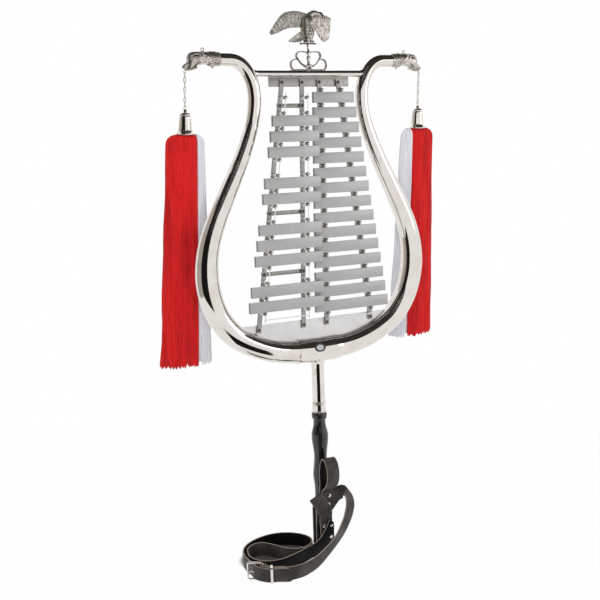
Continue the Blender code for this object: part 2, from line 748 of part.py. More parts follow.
def make_long_strap():
    """From the cradle's front down to the floor, round in a coil and through the buckle."""
    up = (0, 0, 1)
    seat = front_y() - TONGUE_THICKNESS - LEATHER / 2
    lie = LIE_Z
    points = [
        (0.0190, seat - 2 * GAP, 0.0665),
        (0.0080, seat - 2 * GAP, 0.0475),
        (-0.0020, seat, 0.0320),
        (-0.0130, seat - 0.0010, 0.0225),
        (-0.0270, seat - 0.0030, 0.0165),
        (-0.0450, seat - 0.0065, 0.0140),
        (-0.0660, -0.0345, lie),
        (-0.0890, -0.0430, lie),
        (-0.1120, -0.0490, lie),
        (-0.1310, -0.0480, lie),
        (-0.1470, -0.0400, lie),
        (-0.1570, -0.0270, lie),
        (-0.1610, -0.0080, lie),
        (-0.1570, 0.0110, lie),
        (-0.1490, 0.0280, lie),
        (-0.1370, 0.0385, lie),
        (-0.1230, 0.0420, lie),
        (-0.1105, 0.0370, lie),
        (-0.0985, 0.0180, lie),
        (-0.0870, -0.0040, lie),
        (-0.0730, -0.0190, lie),
        (-0.0590, -0.0235, lie),
        (-0.0440, -0.0195, lie),
        (-0.0310, -0.0100, lie),
        (-0.0235, 0.0040, lie),
        (-0.0225, 0.0190, lie),
        (-0.0290, 0.0370, lie),
        (-0.0430, 0.0530, lie),
        (-0.0620, 0.0640, lie),
        (-0.0850, 0.0680, lie),
        (-0.1150, 0.0620, lie),
        (-0.1420, 0.0470, lie),
        (-0.1600, 0.0250, lie),
        (-0.1680, 0.0010, lie),
        (-0.1695, -0.0220, lie),
        (-0.1725, -0.0400, BUCKLE_Z - 0.0010),
        (-0.1745, -0.0540, BUCKLE_Z),
        (-0.1730, -0.0650, BUCKLE_Z),
        (-0.1670, -0.0740, BUCKLE_Z - 0.0006),
        (-0.1565, -0.0813, KEEPER_Z),
        (-0.1410, -0.0880, KEEPER_Z),
        (-0.1250, -0.0935, lie + 0.0008),
        (-0.1090, -0.0985, lie),
    ]
    across = [(-0.87, 0, 0.5), (-0.85, 0, 0.53), (-0.80, 0, 0.60)]
    across += [(-0.58, 0, 0.82), (-0.28, 0, 0.96), (-0.1, 0, 1)]
    across += [up] * (len(points) - len(across))
    out = (0, -1, 0)
    rivets = (((0.0085, seat, 0.0560), out), ((0.0075, seat, 0.0330), out))
    strap = strap_piece("strap_long", points, across, 2, rivets)

    bm = bmesh.new()
    box(bm, (BAND_WIDTH / 2, seat - 0.01, 0), (0.06, seat + 0.01, 0.12))
    cut(strap, make("strap_long_end", bm))
    tip = Vector(points[-1])
    bm = bmesh.new()
    for side in (-1, 1):
        wedge = [
            (tip.x - 0.010, lie + side * (lie + 0.004)),
            (tip.x + 0.006, lie + side * (lie + 0.004)),
            (tip.x + 0.006, lie - 0.002 + side * 0.002),
        ]
        plate(bm, wedge, 0.020, tip.y)
    cut(strap, make("strap_long_point", bm))
    near = min(smooth_path(points[-5:], 4), key=lambda p: abs(p.x + 0.1475))
    bm = bmesh.new()
    rod(bm, near + Vector((-0.0020, -0.0055, 0)), near + Vector((0.0010, 0.0027, 0)), 0.0016, 6)
    cut(strap, make("strap_long_hole", bm))
    return strap


def make_short_strap():
    """From the loop's pinch over in an arch, down to the floor and round the buckle's bar."""
    up = (0, 0, -1)
    seat = front_y() - GAP - LEATHER / 2
    lie = LIE_Z
    bar = BUCKLE_NEAR
    points = [
        (0.0010, seat, 0.0915),
        (0.0100, seat, 0.1010),
        (0.0185, seat - 0.0009, 0.1110),
        (0.0270, seat - 0.0055, 0.1190),
        (0.0350, seat - 0.0115, 0.1205),
        (0.0405, seat - 0.0170, 0.1110),
        (0.0400, seat - 0.0220, 0.0970),
        (0.0330, seat - 0.0265, 0.0800),
        (0.0220, seat - 0.0310, 0.0640),
        (0.0000, seat - 0.0400, 0.0440),
        (-0.0290, -0.0670, 0.0260),
        (-0.0560, -0.0780, 0.0170),
        (-0.0850, -0.0875, lie + 0.0006),
        (-0.1060, -0.0905, lie + 0.0006),
        (-0.1235, -0.0892, lie + 0.0010),
        (-0.1400, -0.0840, KEEPER_Z),
        (-0.1530, -0.0770, KEEPER_Z),
        (-0.1615, -0.0695, BUCKLE_Z - 0.0004),
        (bar.x - 0.0042, bar.y - 0.0021, BUCKLE_Z),
        (bar.x - 0.0036, bar.y + 0.0022, BUCKLE_Z),
        (bar.x, bar.y + 0.0042, BUCKLE_Z),
        (bar.x + 0.0038, bar.y + 0.0019, BUCKLE_Z),
        (-0.1550, -0.0682, BUCKLE_Z - 0.0010),
        (-0.1490, -0.0751, KEEPER_Z - 0.0002),
        (-0.1382, -0.0806, KEEPER_Z),
        (-0.1260, -0.0847, lie + 0.0010),
    ]
    across = [
        (-0.72, 0, 0.69),
        (-0.70, 0, 0.71),
        (-0.66, 0.05, 0.73),
        (-0.46, 0.37, 0.78),
        (0.30, 0.83, 0.45),
        (0.80, 0.58, 0.05),
        (0.90, 0.42, 0.00),
        (0.91, 0.40, 0.05),
        (0.88, 0.44, -0.10),
        (0.72, 0.50, -0.42),
        (0.50, 0.42, -0.72),
        (0.25, 0.22, -0.93),
        (0.05, 0.05, -1),
    ]
    across += [up] * (len(points) - len(across))
    out = (0, -1, 0)
    strap = strap_piece("strap_short", points, across, 2, (((0.0050, seat, 0.0985), out),))
    bm = bmesh.new()
    slot = PRONG_RADIUS + 2 * GAP
    box(bm, (bar.x - 0.009, bar.y - 0.007, BUCKLE_Z - slot), (bar.x + 0.0054, bar.y + 0.008, BUCKLE_Z + slot))
    cut(strap, make("strap_short_slot", bm))
    return strap


def make_buckle(long_strap):
    """The buckle's wire frame, and the prong on its near bar that rests on its far bar."""
    up = Vector((0, 0, 1))
    lift = up * BUCKLE_Z
    along = (BUCKLE_FAR - BUCKLE_NEAR).normalized()
    outward = Vector((along.y, -along.x, 0))
    outward = outward if outward.y < 0 else -outward
    place = (BUCKLE_FAR + BUCKLE_NEAR) / 2 + lift
    half_long = BUCKLE_LENGTH / 2
    half_high = LIE_Z + BUCKLE_PLAY + BUCKLE_WIRE
    corner = 2 * BUCKLE_WIRE
    path = []
    for a, b in ((1, 1), (-1, 1), (-1, -1), (1, -1)):
        ends = [(half_long, half_high - corner), (half_long - 0.3 * corner, half_high - 0.3 * corner)]
        ends.append((half_long - corner, half_high))
        if a * b < 0:
            ends.reverse()
        path += [place + along * a * x + up * b * z for x, z in ends]
    rings = []
    count = len(path)
    for i, centre in enumerate(path):
        tangent = (path[(i + 1) % count] - path[i - 1]).normalized()
        inward = tangent.cross(outward)
        turn = [math.tau * (k + 0.5) / 6 for k in range(6)]
        rings.append([centre + BUCKLE_WIRE * (math.cos(t) * outward + math.sin(t) * inward) for t in turn])
    bm = bmesh.new()
    skin(bm, rings, closed=True)
    make("buckle_frame", bm, CHROME)

    clear = BUCKLE_WIRE + GAP + PRONG_RADIUS
    near, far = BUCKLE_NEAR + lift, BUCKLE_FAR + lift
    bm = bmesh.new()
    ends = [near + outward * clear, far + outward * clear + along * 0.0024]
    tube(bm, ends, [PRONG_RADIUS, 0.8 * PRONG_RADIUS], 6)
    prong = make("buckle_prong", bm, CHROME)
    bm = bmesh.new()
    add_ring(bm, near, up, clear, PRONG_RADIUS, 10, along=along)
    join(prong, make("buckle_prong_ring", bm))
    for number, share in enumerate((0.0, 0.5, 1.0)):
        swing = Matrix.Rotation(PRONG_SWING * share, 3, "Z")
        bm = bmesh.new()
        rod(bm, near + outward * clear, far + outward * clear, PRONG_RADIUS + 2 * GAP, 6)
        bmesh.ops.rotate(bm, cent=near, matrix=swing, verts=bm.verts)
        cut(long_strap, make(f"strap_long_prong_hole_{number + 1}", bm))


def make_keeper():
    """A flat metal loop round both straps, near the buckle."""
    centre = Vector((-0.1508, -0.0792, KEEPER_Z))
    along = Vector((0.915, -0.403, 0)).normalized()
    outward = Vector((along.y, -along.x, 0))
    up = Vector((0, 0, 1))
    depth = 0.0072
    height = LIE_Z + KEEPER_PLAY
    wall = KEEPER_THICKNESS
    rows = []
    for reach, grow in ((-1, wall), (1, wall), (1, 0), (-1, 0)):
        corners = ((1, 1), (1, -1), (-1, -1), (-1, 1))
        shift = centre + along * reach * KEEPER_WIDTH / 2
        wide, tall = outward * (depth + grow), up * (height + grow)
        rows.append([shift + a * wide + b * tall for a, b in corners])
    bm = bmesh.new()
    skin(bm, rows, closed=True)
    make("strap_keeper", bm, CHROME, smooth=False)


# Heads, chains and tassels

def loft_ovals(bm, stations, side, sides):
    """A body along X from (reach, top, bottom, half width) stations, measured from the arm's end."""
    rings = []
    for reach, top, bottom, half in stations:
        middle, tall = (top + bottom) / 2, (top - bottom) / 2
        turn = [math.tau * (k + 0.5) / sides for k in range(sides)]
        x = side * (NECK_END_X + reach)
        rings.append([Vector((x, half * math.cos(t), HEAD_Z + middle + tall * math.sin(t))) for t in turn])
    skin(bm, rings)


def make_head(name, side):
    """A bird's head with brow, hooked beak and jaw, a crest ring on top and the chain's eye."""
    r, n = END_TUBE_RADIUS, HEAD_LENGTH
    half = HEAD_HALF_WIDTH
    skull = [
        (GAP, r, -r, r),
        (0.22 * n, r + 0.0015, -r + 0.0017, 0.96 * half),
        (0.45 * n, r + 0.0020, -r + 0.0026, half),
        (0.67 * n, r + 0.0021, -r - 0.0002, half),
        (0.83 * n, r + 0.0012, -r - 0.0046, 0.88 * half),
        (0.94 * n, r - 0.0012, -r - 0.0080, 0.70 * half),
        (n, r - 0.0052, -r - 0.0078, 0.48 * half),
    ]
    beak = [
        (0.86 * n, 0.0000, -0.0170, 0.58 * half),
        (n, -0.0055, -0.0160, 0.48 * half),
        (0.955 * BEAK_REACH, -0.0088, -0.0160, 0.34 * half),
        (BEAK_REACH, -0.0120, -0.0168, 0.16 * half),
    ]
    jaw = [
        (0.80 * n, -0.0120, -0.0190, 0.42 * half),
        (0.95 * n, -0.0150, -0.0204, 0.36 * half),
        (0.94 * BEAK_REACH, -0.0165, -0.0205, 0.20 * half),
    ]
    bm = bmesh.new()
    loft_ovals(bm, skull, side, 10)
    head = make(name, bm, CHROME)
    for label, stations in (("beak", beak), ("jaw", jaw)):
        bm = bmesh.new()
        loft_ovals(bm, stations, side, 8)
        join(head, make(f"{name}_{label}", bm))
    top = Vector((side * (NECK_END_X + 0.52 * n), 0, HEAD_Z + r + 0.0020 + CREST_RING_RADIUS))
    join(head, ring_guide(name + "_crest", top, Vector((0, 1, 0)), CREST_RING_RADIUS, RING_WIRE))
    eye = Vector((side * (NECK_END_X + CHAIN_REACH), 0, HEAD_Z - 0.0225))
    join(head, ring_guide(name + "_eye", eye, Vector((0, 1, 0)), EYE_RADIUS, EYE_WIRE))
    return eye


def ring_guide(name, centre, axis, radius, wire):
    bm = bmesh.new()
    add_ring(bm, centre, axis, radius, wire, 8)
    return make(name, bm)


def add_ring(bm, centre, axis, radius, wire, count, stretch=0.0, along=Vector((0, 0, 1))):
    """A closed ring or long link; stretch parts its two halves along one direction."""
    across = axis.cross(along).normalized()
    rings = []
    for i in range(count):
        t = math.tau * (i + 0.5) / count
        away = math.cos(t) * across + math.sin(t) * along
        middle = centre + radius * away + along * math.copysign(stretch / 2, math.sin(t))
        turn = [math.tau * (k + 0.5) / 4 for k in range(4)]
        rings.append([middle + wire * (math.cos(s) * away + math.sin(s) * axis) for s in turn])
    skin(bm, rings, closed=True)


def hook_drop():
    """From the middle of an eye to where the run of links hooked in it begins."""
    return EYE_RADIUS - EYE_WIRE - 0.85 * LINK_WIRE - GAP


def hang_all(bm, anchor):
    """Tilts what hangs straight below the anchor back behind the lyre, where it rests."""
    sway = LEFT_SWAY if anchor.x < 0 else RIGHT_SWAY
    lean = Matrix.Rotation(HANG_TILT, 3, "X") @ Matrix.Rotation(-sway, 3, "Y")
    bmesh.ops.rotate(bm, cent=anchor, matrix=lean, verts=bm.verts)


def make_chain(name, anchor):
    """Oval links turned a quarter from one to the next, hooked through each other as one run."""
    count = round(CHAIN_LENGTH / (LINK_LENGTH - 2 * LINK_WIRE))
    pitch = CHAIN_LENGTH / count
    stretch = LINK_LENGTH - 2 * LINK_HALF_WIDTH
    links = []
    for i in range(count):
        centre = anchor - Vector((0, 0, (i + 0.5) * pitch))
        axis = Vector((1, 0, 0)) if i % 2 == 0 else Vector((0, 1, 0))
        bm = bmesh.new()
        bend = LINK_HALF_WIDTH - LINK_WIRE
        add_ring(bm, centre, axis, bend, LINK_WIRE, 6, pitch + 0.3 * LINK_WIRE - 2 * bend)
        hang_all(bm, anchor)
        if i == 0:
            chain = make(name, bm, CHROME)
        else:
            links.append(make(f"{name}_link_{i + 1}", bm))
    join(chain, *links)
    return anchor - Vector((0, 0, CHAIN_LENGTH))


def make_cap(name, top, anchor):
    """A turned cap, open below, that grips the head of the tassel; its eye takes the chain."""
    h = CAP_HEIGHT
    eye = top - Vector((0, 0, hook_drop()))
    seat = eye.z - EYE_RADIUS
    rim, crown = CAP_RIM_RADIUS, CAP_TOP_RADIUS
    profile = [
        (seat - h, rim),
        (seat - h + 0.0016, rim),
        (seat - 0.92 * h, 0.78 * rim),
        (seat - 0.86 * h, 1.24 * crown),
        (seat - 0.50 * h, 1.10 * crown),
        (seat - 0.22 * h, crown),
        (seat - 0.14 * h, 0.72 * crown),
        (seat - 0.10 * h, 0.32 * crown),
        (seat - 0.05 * h, 0.34 * crown),
        (seat, 0.20 * crown),
    ]
    bm = bmesh.new()
    turned(bm, profile, 12)
    bmesh.ops.translate(bm, verts=bm.verts, vec=(top.x, top.y, 0))
    hang_all(bm, anchor)
    cap = make(name, bm, CHROME)
    bm = bmesh.new()
    add_ring(bm, eye, Vector((0, 1, 0)), EYE_RADIUS, EYE_WIRE, 8)
    hang_all(bm, anchor)
    join(cap, make(name + "_eye", bm))
    inside = [
        (seat - h - 0.002, rim - CAP_WALL),
        (seat - h + 0.0016, rim - 1.4 * CAP_WALL),
        (seat - 0.84 * h, 1.24 * crown - CAP_WALL),
        (seat - 0.50 * h, 1.10 * crown - CAP_WALL),
        (seat - 0.26 * h, crown - 1.6 * CAP_WALL),
    ]
    bm = bmesh.new()
    turned(bm, inside, CAP_HOLLOW_SIDES)
    bmesh.ops.translate(bm, verts=bm.verts, vec=(top.x, top.y, 0))
    hang_all(bm, anchor)
    cut(cap, make(name + "_hollow", bm))
    return seat - h


def make_tassel(side_name, side, top, rim_z, anchor):
    """The red outer and white inner skirts of one tassel, parted by an upright plane."""
    locks = 18
    head, throat = rim_z + 0.30 * CAP_HEIGHT, rim_z + 0.16 * CAP_HEIGHT
    crown = rim_z - 0.0020
    end = crown - TASSEL_LENGTH
    split = top.x - side * TASSEL_SPLIT
    flat = math.cos(math.pi / CAP_HOLLOW_SIDES)
    neck = flat * (1.18 * CAP_TOP_RADIUS - CAP_WALL) - GAP
    gather = flat * (1.24 * CAP_TOP_RADIUS - CAP_WALL) - GAP
    collar = 0.86 * CAP_RIM_RADIUS
    stations = [(head, neck, neck), (throat, gather, gather), (crown, collar, collar)]
    for share in (0.006, 0.020, 0.045, 0.20, 0.36, 0.52, 0.68, 0.84, 1.0):
        wide = TASSEL_TOP_HALF_WIDTH + (TASSEL_END_HALF_WIDTH - TASSEL_TOP_HALF_WIDTH) * share
        deep = TASSEL_TOP_HALF_DEPTH + (TASSEL_END_HALF_DEPTH - TASSEL_TOP_HALF_DEPTH) * share
        fill = {0.006: 0.72, 0.020: 0.90}.get(share, 1.0)
        stations.append((crown - TASSEL_LENGTH * share, fill * wide, fill * deep))
    for colour, recipe, sign in (("red", HAIR_RED, side), ("white", HAIR_WHITE, -side)):
        rings = []
        for z, wide, deep in stations:
            turn = [math.tau * (k + 0.5) / locks for k in range(locks)]
            rings.append([Vector((top.x + wide * math.cos(t), top.y + deep * math.sin(t), z)) for t in turn])
        bm = bmesh.new()
        skin(bm, rings)
        hang_all(bm, anchor)
        skirt = make(f"tassel_{colour}_{side_name}", bm, recipe)
        far = 2 * TASSEL_END_HALF_WIDTH
        near = split + sign * GAP / 2
        bm = bmesh.new()
        box(
            bm,
            (min(near, near - sign * far), top.y - far, end - 0.01),
            (max(near, near - sign * far), top.y + far, head + 0.01),
        )
        hang_all(bm, anchor)
        cut(skirt, make(f"tassel_{colour}_{side_name}_parting", bm))


def make_hangings():
    for side_name, side in (("left", -1), ("right", 1)):
        eye = make_head(f"eagle_head_{side_name}", side)
        anchor = eye - Vector((0, 0, hook_drop()))
        below = make_chain(f"chain_{side_name}", anchor)
        rim = make_cap(f"tassel_cap_{side_name}", below, anchor)
        make_tassel(side_name, side, below, rim, anchor)


# Finial

def make_finial_base():
    """Bent strips in a pair of scrolls, a stem and the perch, on a flat foot along the crossbar."""
    foot = CROSSBAR_Z + CROSSBAR_RADIUS + GAP
    w, h = SCROLL_HALF_WIDTH, FINIAL_HEIGHT
    t = SCROLL_STRIP
    bm = bmesh.new()
    box(bm, (-w, -SCROLL_DEPTH / 2, foot), (w, SCROLL_DEPTH / 2, foot + t))
    base = make("finial_base", bm, CHROME)
    lower = [(0.96, 0.02), (1.04, 0.08), (1.05, 0.22), (0.94, 0.34), (0.66, 0.36), (0.42, 0.20), (0.10, 0.04)]
    upper = [(0.02, 0.08), (0.42, 0.20), (0.62, 0.36), (0.72, 0.48), (0.66, 0.60), (0.48, 0.64), (0.04, 0.62)]
    parts = []
    for side, side_name in ((-1, "left"), (1, "right")):
        for label, shape in (("lower", lower), ("upper", upper)):
            path = smooth_path([(side * w * a, 0, foot + t / 2 + h * b) for a, b in shape], 1)
            bm = bmesh.new()
            ribbon(bm, path, [Vector((0, 1, 0))] * len(path), 0.86 * SCROLL_DEPTH, t)
            parts.append(make(f"finial_{label}_{side_name}", bm))
    stem = [
        (foot + 0.5 * t, 2.6 * STEM_RADIUS),
        (foot + 0.10 * h, 2.2 * STEM_RADIUS),
        (foot + 0.20 * h, STEM_RADIUS * 1.3),
        (foot + 0.40 * h, STEM_RADIUS * 1.3),
        (foot + 0.44 * h, STEM_RADIUS * 1.9),
        (foot + 0.50 * h, STEM_RADIUS),
        (foot + 0.62 * h, STEM_RADIUS * 1.7),
        (foot + 0.70 * h, STEM_RADIUS),
        (foot + 0.96 * h, STEM_RADIUS),
    ]
    bm = bmesh.new()
    turned(bm, stem, 10)
    parts.append(make("finial_stem", bm))
    bm = bmesh.new()
    perch = foot + h - 0.0019
    rod(bm, (-PERCH_HALF_LENGTH, 0, perch), (PERCH_HALF_LENGTH, 0, perch), 0.0019, 8)
    parts.append(make("finial_perch", bm))
    join(base, *parts)
    return foot + h + GAP


def make_eagle(seat):
    """A perched eagle with raised wings, its head turned to the right."""
    h = EAGLE_HEIGHT
    body = [(0, 0.002, 0), (0, 0.002, 0.12 * h), (-0.001, 0, 0.42 * h), (0, -0.001, 0.68 * h)]
    body += [(0.003, -0.002, 0.86 * h)]
    bm = bmesh.new()
    tube(bm, [Vector((x, y, seat + z)) for x, y, z in body], [0.0070, 0.0085, 0.0118, 0.0120, 0.0075], 10)
    eagle = make("finial_eagle", bm, CHROME)
    parts = []

    neck = [(0.001, -0.001, 0.80 * h), (0.009, -0.004, 0.945 * h), (0.0165, -0.006, 0.945 * h)]
    neck += [(0.0225, -0.007, 0.88 * h), (0.0260, -0.008, 0.78 * h)]
    bm = bmesh.new()
    tube(bm, [Vector((x, y, seat + z)) for x, y, z in neck], [0.0080, 0.0056, 0.0045, 0.0026, 0.0008], 8)
    parts.append(make("finial_eagle_head", bm))

    left_wing = [
        (0.05, 0.90),
        (0.27, 1.00),
        (0.52, 0.99),
        (0.69, 0.865),
        (0.845, 0.62),
        (1.01, 0.325),
        (0.975, 0.255),
        (0.82, 0.30),
        (0.54, 0.455),
        (0.29, 0.48),
        (0.05, 0.47),
    ]
    right_wing = [
        (0.05, 0.84),
        (0.28, 0.86),
        (0.51, 0.88),
        (0.77, 0.815),
        (0.93, 0.73),
        (0.90, 0.41),
        (0.82, 0.205),
        (0.71, 0.02),
        (0.62, 0.02),
        (0.46, 0.21),
        (0.28, 0.53),
        (0.05, 0.57),
    ]
    for side, side_name, wing in ((-1, "left", left_wing), (1, "right", right_wing)):
        bm = bmesh.new()
        plate(bm, [(side * WING_SPAN * a, seat + h * b) for a, b in wing], WING_THICKNESS)
        bmesh.ops.transform(bm, matrix=Matrix.Rotation(side * WING_SWEEP, 4, "Z"), verts=bm.verts)
        parts.append(make(f"finial_eagle_wing_{side_name}", bm))

    tail = ((-0.003, 0.004, 0.42 * h, 0.006), (-0.010, 0.014, 0.22 * h, 0.009))
    tail += ((-0.017, 0.023, 0.03 * h, 0.012),)
    rings = []
    for x, y, z, wide in tail:
        corners = ((1, 1), (-1, 1), (-1, -1), (1, -1))
        rings.append([Vector((x + a * wide, y + b * 0.0014, seat + z)) for a, b in corners])
    bm = bmesh.new()
    skin(bm, rings)
    parts.append(make("finial_eagle_tail", bm))
    join(eagle, *parts)


def main():
    clear_scene()
    left = arm_clearance("arm_left_clearance", -1)
    right = arm_clearance("arm_right_clearance", 1)
    make_arms()
    make_crossbar(left, right)
    make_base_socket(left, right)
    make_pole()
    make_rack(left, right)
    make_cord("cord_sharps", 0, 1, SHARP_CORD_Y)
    make_cord("cord_naturals", 2, 3, NATURAL_CORD_Y)
    make_cradle()
    make_short_strap()
    make_buckle(make_long_strap())
    make_keeper()
    make_hangings()
    make_eagle(make_finial_base())


main()
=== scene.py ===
# Bell lyra: the finished look of the tuned bars, the polished lyre, the pole and the leather holster.
# Metres, +Z up, the front is -Y. The origin is on the floor, under the middle of the pole's foot.
import math
import random

import bmesh
import bpy
from mathutils import Matrix, Vector


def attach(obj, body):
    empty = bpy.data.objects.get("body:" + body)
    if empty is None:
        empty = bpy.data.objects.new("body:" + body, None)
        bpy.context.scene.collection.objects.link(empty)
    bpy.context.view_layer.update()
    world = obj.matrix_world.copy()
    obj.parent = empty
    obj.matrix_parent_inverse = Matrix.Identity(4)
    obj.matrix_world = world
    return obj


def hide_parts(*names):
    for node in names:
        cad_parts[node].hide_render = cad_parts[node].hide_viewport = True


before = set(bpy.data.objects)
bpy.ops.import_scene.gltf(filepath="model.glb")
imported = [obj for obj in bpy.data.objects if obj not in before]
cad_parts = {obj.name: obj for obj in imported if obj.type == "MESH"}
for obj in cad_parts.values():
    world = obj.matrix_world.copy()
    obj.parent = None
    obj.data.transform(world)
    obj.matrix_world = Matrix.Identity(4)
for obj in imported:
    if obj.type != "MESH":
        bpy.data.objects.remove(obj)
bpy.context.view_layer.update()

X, Y, Z = Vector((1, 0, 0)), Vector((0, 1, 0)), Vector((0, 0, 1))


# Camera

def set_camera():
    """The photograph's camera, left of the front and a little above the middle."""
    lens = bpy.data.cameras.new("camera")
    lens.lens = 60
    lens.sensor_width = 36
    lens.shift_y = -40 / 600
    lens.clip_end = 50
    camera = bpy.data.objects.new("camera", lens)
    bpy.context.collection.objects.link(camera)
    forward = Vector((0.457, 0.8813, -0.1202)).normalized()
    right = Vector((0.8855, -0.4635, -0.0322))
    right = (right - right.dot(forward) * forward).normalized()
    up = right.cross(forward)
    turn = Matrix((right, up, -forward)).transposed().to_4x4()
    camera.matrix_world = Matrix.Translation((-0.8906, -1.6578, 0.8019)) @ turn
    bpy.context.scene.camera = camera


# Shader maths

class Wire:
    """A value that runs through a finish's nodes; arithmetic on it adds Math nodes."""

    def __init__(self, finish, socket):
        self.finish = finish
        self.socket = socket

    def maths(self, operation, first, second):
        settings = {"operation": operation}
        return self.finish.node("ShaderNodeMath", settings, {0: first, 1: second})

    def __add__(self, other):
        return self.maths("ADD", self, other)

    def __radd__(self, other):
        return self.maths("ADD", other, self)

    def __sub__(self, other):
        return self.maths("SUBTRACT", self, other)

    def __rsub__(self, other):
        return self.maths("SUBTRACT", other, self)

    def __mul__(self, other):
        return self.maths("MULTIPLY", self, other)

    def __rmul__(self, other):
        return self.maths("MULTIPLY", other, self)


class Finish:
    """One material: its nodes are added with node(), and its shader is fed at the end."""

    def __init__(self, name):
        self.material = bpy.data.materials.new(name)
        self.material.use_nodes = True
        self.tree = self.material.node_tree
        self.shader = self.tree.nodes["Principled BSDF"]

    @classmethod
    def of_world(cls, world):
        """The same nodes for the world's light, which has no shader of its own here."""
        world.use_nodes = True
        sky = cls.__new__(cls)
        sky.tree = world.node_tree
        return sky

    def feed(self, socket, value):
        if isinstance(value, Wire):
            self.tree.links.new(value.socket, socket)
        else:
            socket.default_value = value

    def node(self, kind, settings, sockets, output=0):
        node = self.tree.nodes.new(kind)
        for name, value in settings.items():
            if name == "stops":
                while len(node.color_ramp.elements) < len(value):
                    node.color_ramp.elements.new(0.5)
                for stop, (place, level) in zip(node.color_ramp.elements, value):
                    stop.position = place
                    stop.color = (level, level, level, 1)
            else:
                setattr(node, name, value)
        for name, value in sockets.items():
            self.feed(node.inputs[name], value)
        return Wire(self, node.outputs[output])

    def place(self, scale=(1, 1, 1), turn=(0, 0, 0)):
        """The piece's own coordinates, turned and stretched for a pattern."""
        where = self.node("ShaderNodeTexCoord", {}, {}, "Object")
        return self.node("ShaderNodeMapping", {}, {"Vector": where, "Scale": scale, "Rotation": turn})

    def noise(self, vector, scale, detail=3.0, roughness=0.55):
        sockets = {"Vector": vector, "Scale": scale, "Detail": detail, "Roughness": roughness}
        return self.node("ShaderNodeTexNoise", {}, sockets)

    def cells(self, vector, scale):
        return self.node("ShaderNodeTexVoronoi", {"feature": "F1"}, {"Vector": vector, "Scale": scale})

    def ramp(self, value, *stops):
        return self.node("ShaderNodeValToRGB", {"stops": stops}, {0: value})

    def part(self, vector, axis):
        return self.node("ShaderNodeSeparateXYZ", {}, {0: vector}, axis)

    def mix(self, share, first, second):
        """One colour over another by a share."""
        settings = {"data_type": "RGBA"}
        first, second = (c if isinstance(c, Wire) else (*c, 1) for c in (first, second))
        return self.node("ShaderNodeMix", settings, {0: share, 6: first, 7: second}, 2)

    def bump(self, height, strength, distance):
        sockets = {"Height": height, "Strength": strength, "Distance": distance}
        return self.node("ShaderNodeBump", {}, sockets)

    def done(self, **sockets):
        for name, value in sockets.items():
            if isinstance(value, tuple) and len(value) == 3:
                value = (*value, 1)
            self.feed(self.shader.inputs[name.replace("_", " ")], value)
        return self.material


# Finishes

def polished_plate(name, tint, dull, roughness=0.06, dents=0.25):
    """Bright plated tube: warm silver, with wiping marks and a faint dull bloom here and there."""
    f = Finish(name)
    bloom = f.ramp(f.noise(f.place(), 38, 5), (0.45, 0.0), (0.75, 1.0))
    specks = f.ramp(f.noise(f.place((1, 1, 0.45)), 260, 4, 0.7), (0.58, 0.0), (0.72, 1.0))
    marks = f.noise(f.place((1, 1, 7)), 150, 2)
    waves = f.noise(f.place(), 22, 1)
    level = roughness + 0.05 * bloom + 0.06 * specks * bloom + 0.02 * marks
    colour = f.mix(0.55 * bloom, tint, dull)
    colour = f.mix(0.25 * specks * bloom, colour, (0.40, 0.36, 0.31))
    return f.done(
        Base_Color=colour,
        Metallic=1.0,
        Roughness=level,
        Normal=f.bump(waves + 0.02 * marks, dents, 0.0006),
    )


def cast_plate(name, bright, browned, relief):
    """Plated casting: bright on its ridges, browned where polish never reaches."""
    f = Finish(name)
    grain = f.noise(f.place(), 420, 4, 0.65)
    hollows = f.ramp(f.cells(f.place((1, 1, 0.6)), 300), (0.1, 0.0), (0.75, 1.0))
    soot = f.ramp(f.noise(f.place(), 110, 4), (0.42, 0.0), (0.68, 1.0))
    colour = f.mix(0.62 * soot + 0.28 * hollows, bright, browned)
    return f.done(
        Base_Color=colour,
        Metallic=1.0,
        Roughness=0.28 + 0.14 * soot + 0.06 * grain,
        Normal=f.bump(hollows + 0.5 * grain, relief, 0.0005),
    )


def tarnish_and_painted_shade(name):
    """The same plate gone dark in the deep lines of the castings: partly tarnish, partly painted shade."""
    f = Finish(name)
    grain = f.noise(f.place(), 500, 4)
    colour = f.mix(grain, (0.055, 0.042, 0.034), (0.020, 0.015, 0.012))
    return f.done(Base_Color=colour, Metallic=0.8, Roughness=0.30 + 0.2 * grain, Normal=f.bump(grain, 0.3, 0.0003))


def brushed_bar(name, light, shade, metallic=1.0):
    """Tuned bar: satin aluminium, brushed along its length, with a cloudy anodised tone."""
    f = Finish(name)
    brush = f.noise(f.place((14, 260, 420)), 4.0, 4, 0.7)
    cloud = f.noise(f.place((1, 1, 1.6)), 26, 4)
    specks = f.ramp(f.noise(f.place(), 520, 3), (0.60, 0.0), (0.72, 1.0))
    colour = f.mix(f.ramp(cloud, (0.30, 0.0), (0.72, 1.0)), light, shade)
    colour = f.mix(0.22 * brush + 0.12 * specks, colour, tuple(0.62 * c for c in shade))
    return f.done(
        Base_Color=colour,
        Metallic=metallic,
        Roughness=0.34 + 0.12 * brush + 0.08 * cloud,
        Normal=f.bump(brush + 0.2 * specks, 0.22, 0.0003),
    )


def sawn_end_in_painted_shade(name):
    """The cut end of a bar with the saw's lines across it, painted darker as the shade the end faces show."""
    f = Finish(name)
    lines = f.noise(f.place((60, 900, 60)), 3.0, 3)
    colour = f.mix(lines, (0.24, 0.24, 0.235), (0.36, 0.355, 0.35))
    return f.done(Base_Color=colour, Metallic=0.9, Roughness=0.42 + 0.15 * lines, Normal=f.bump(lines, 0.5, 0.0003))


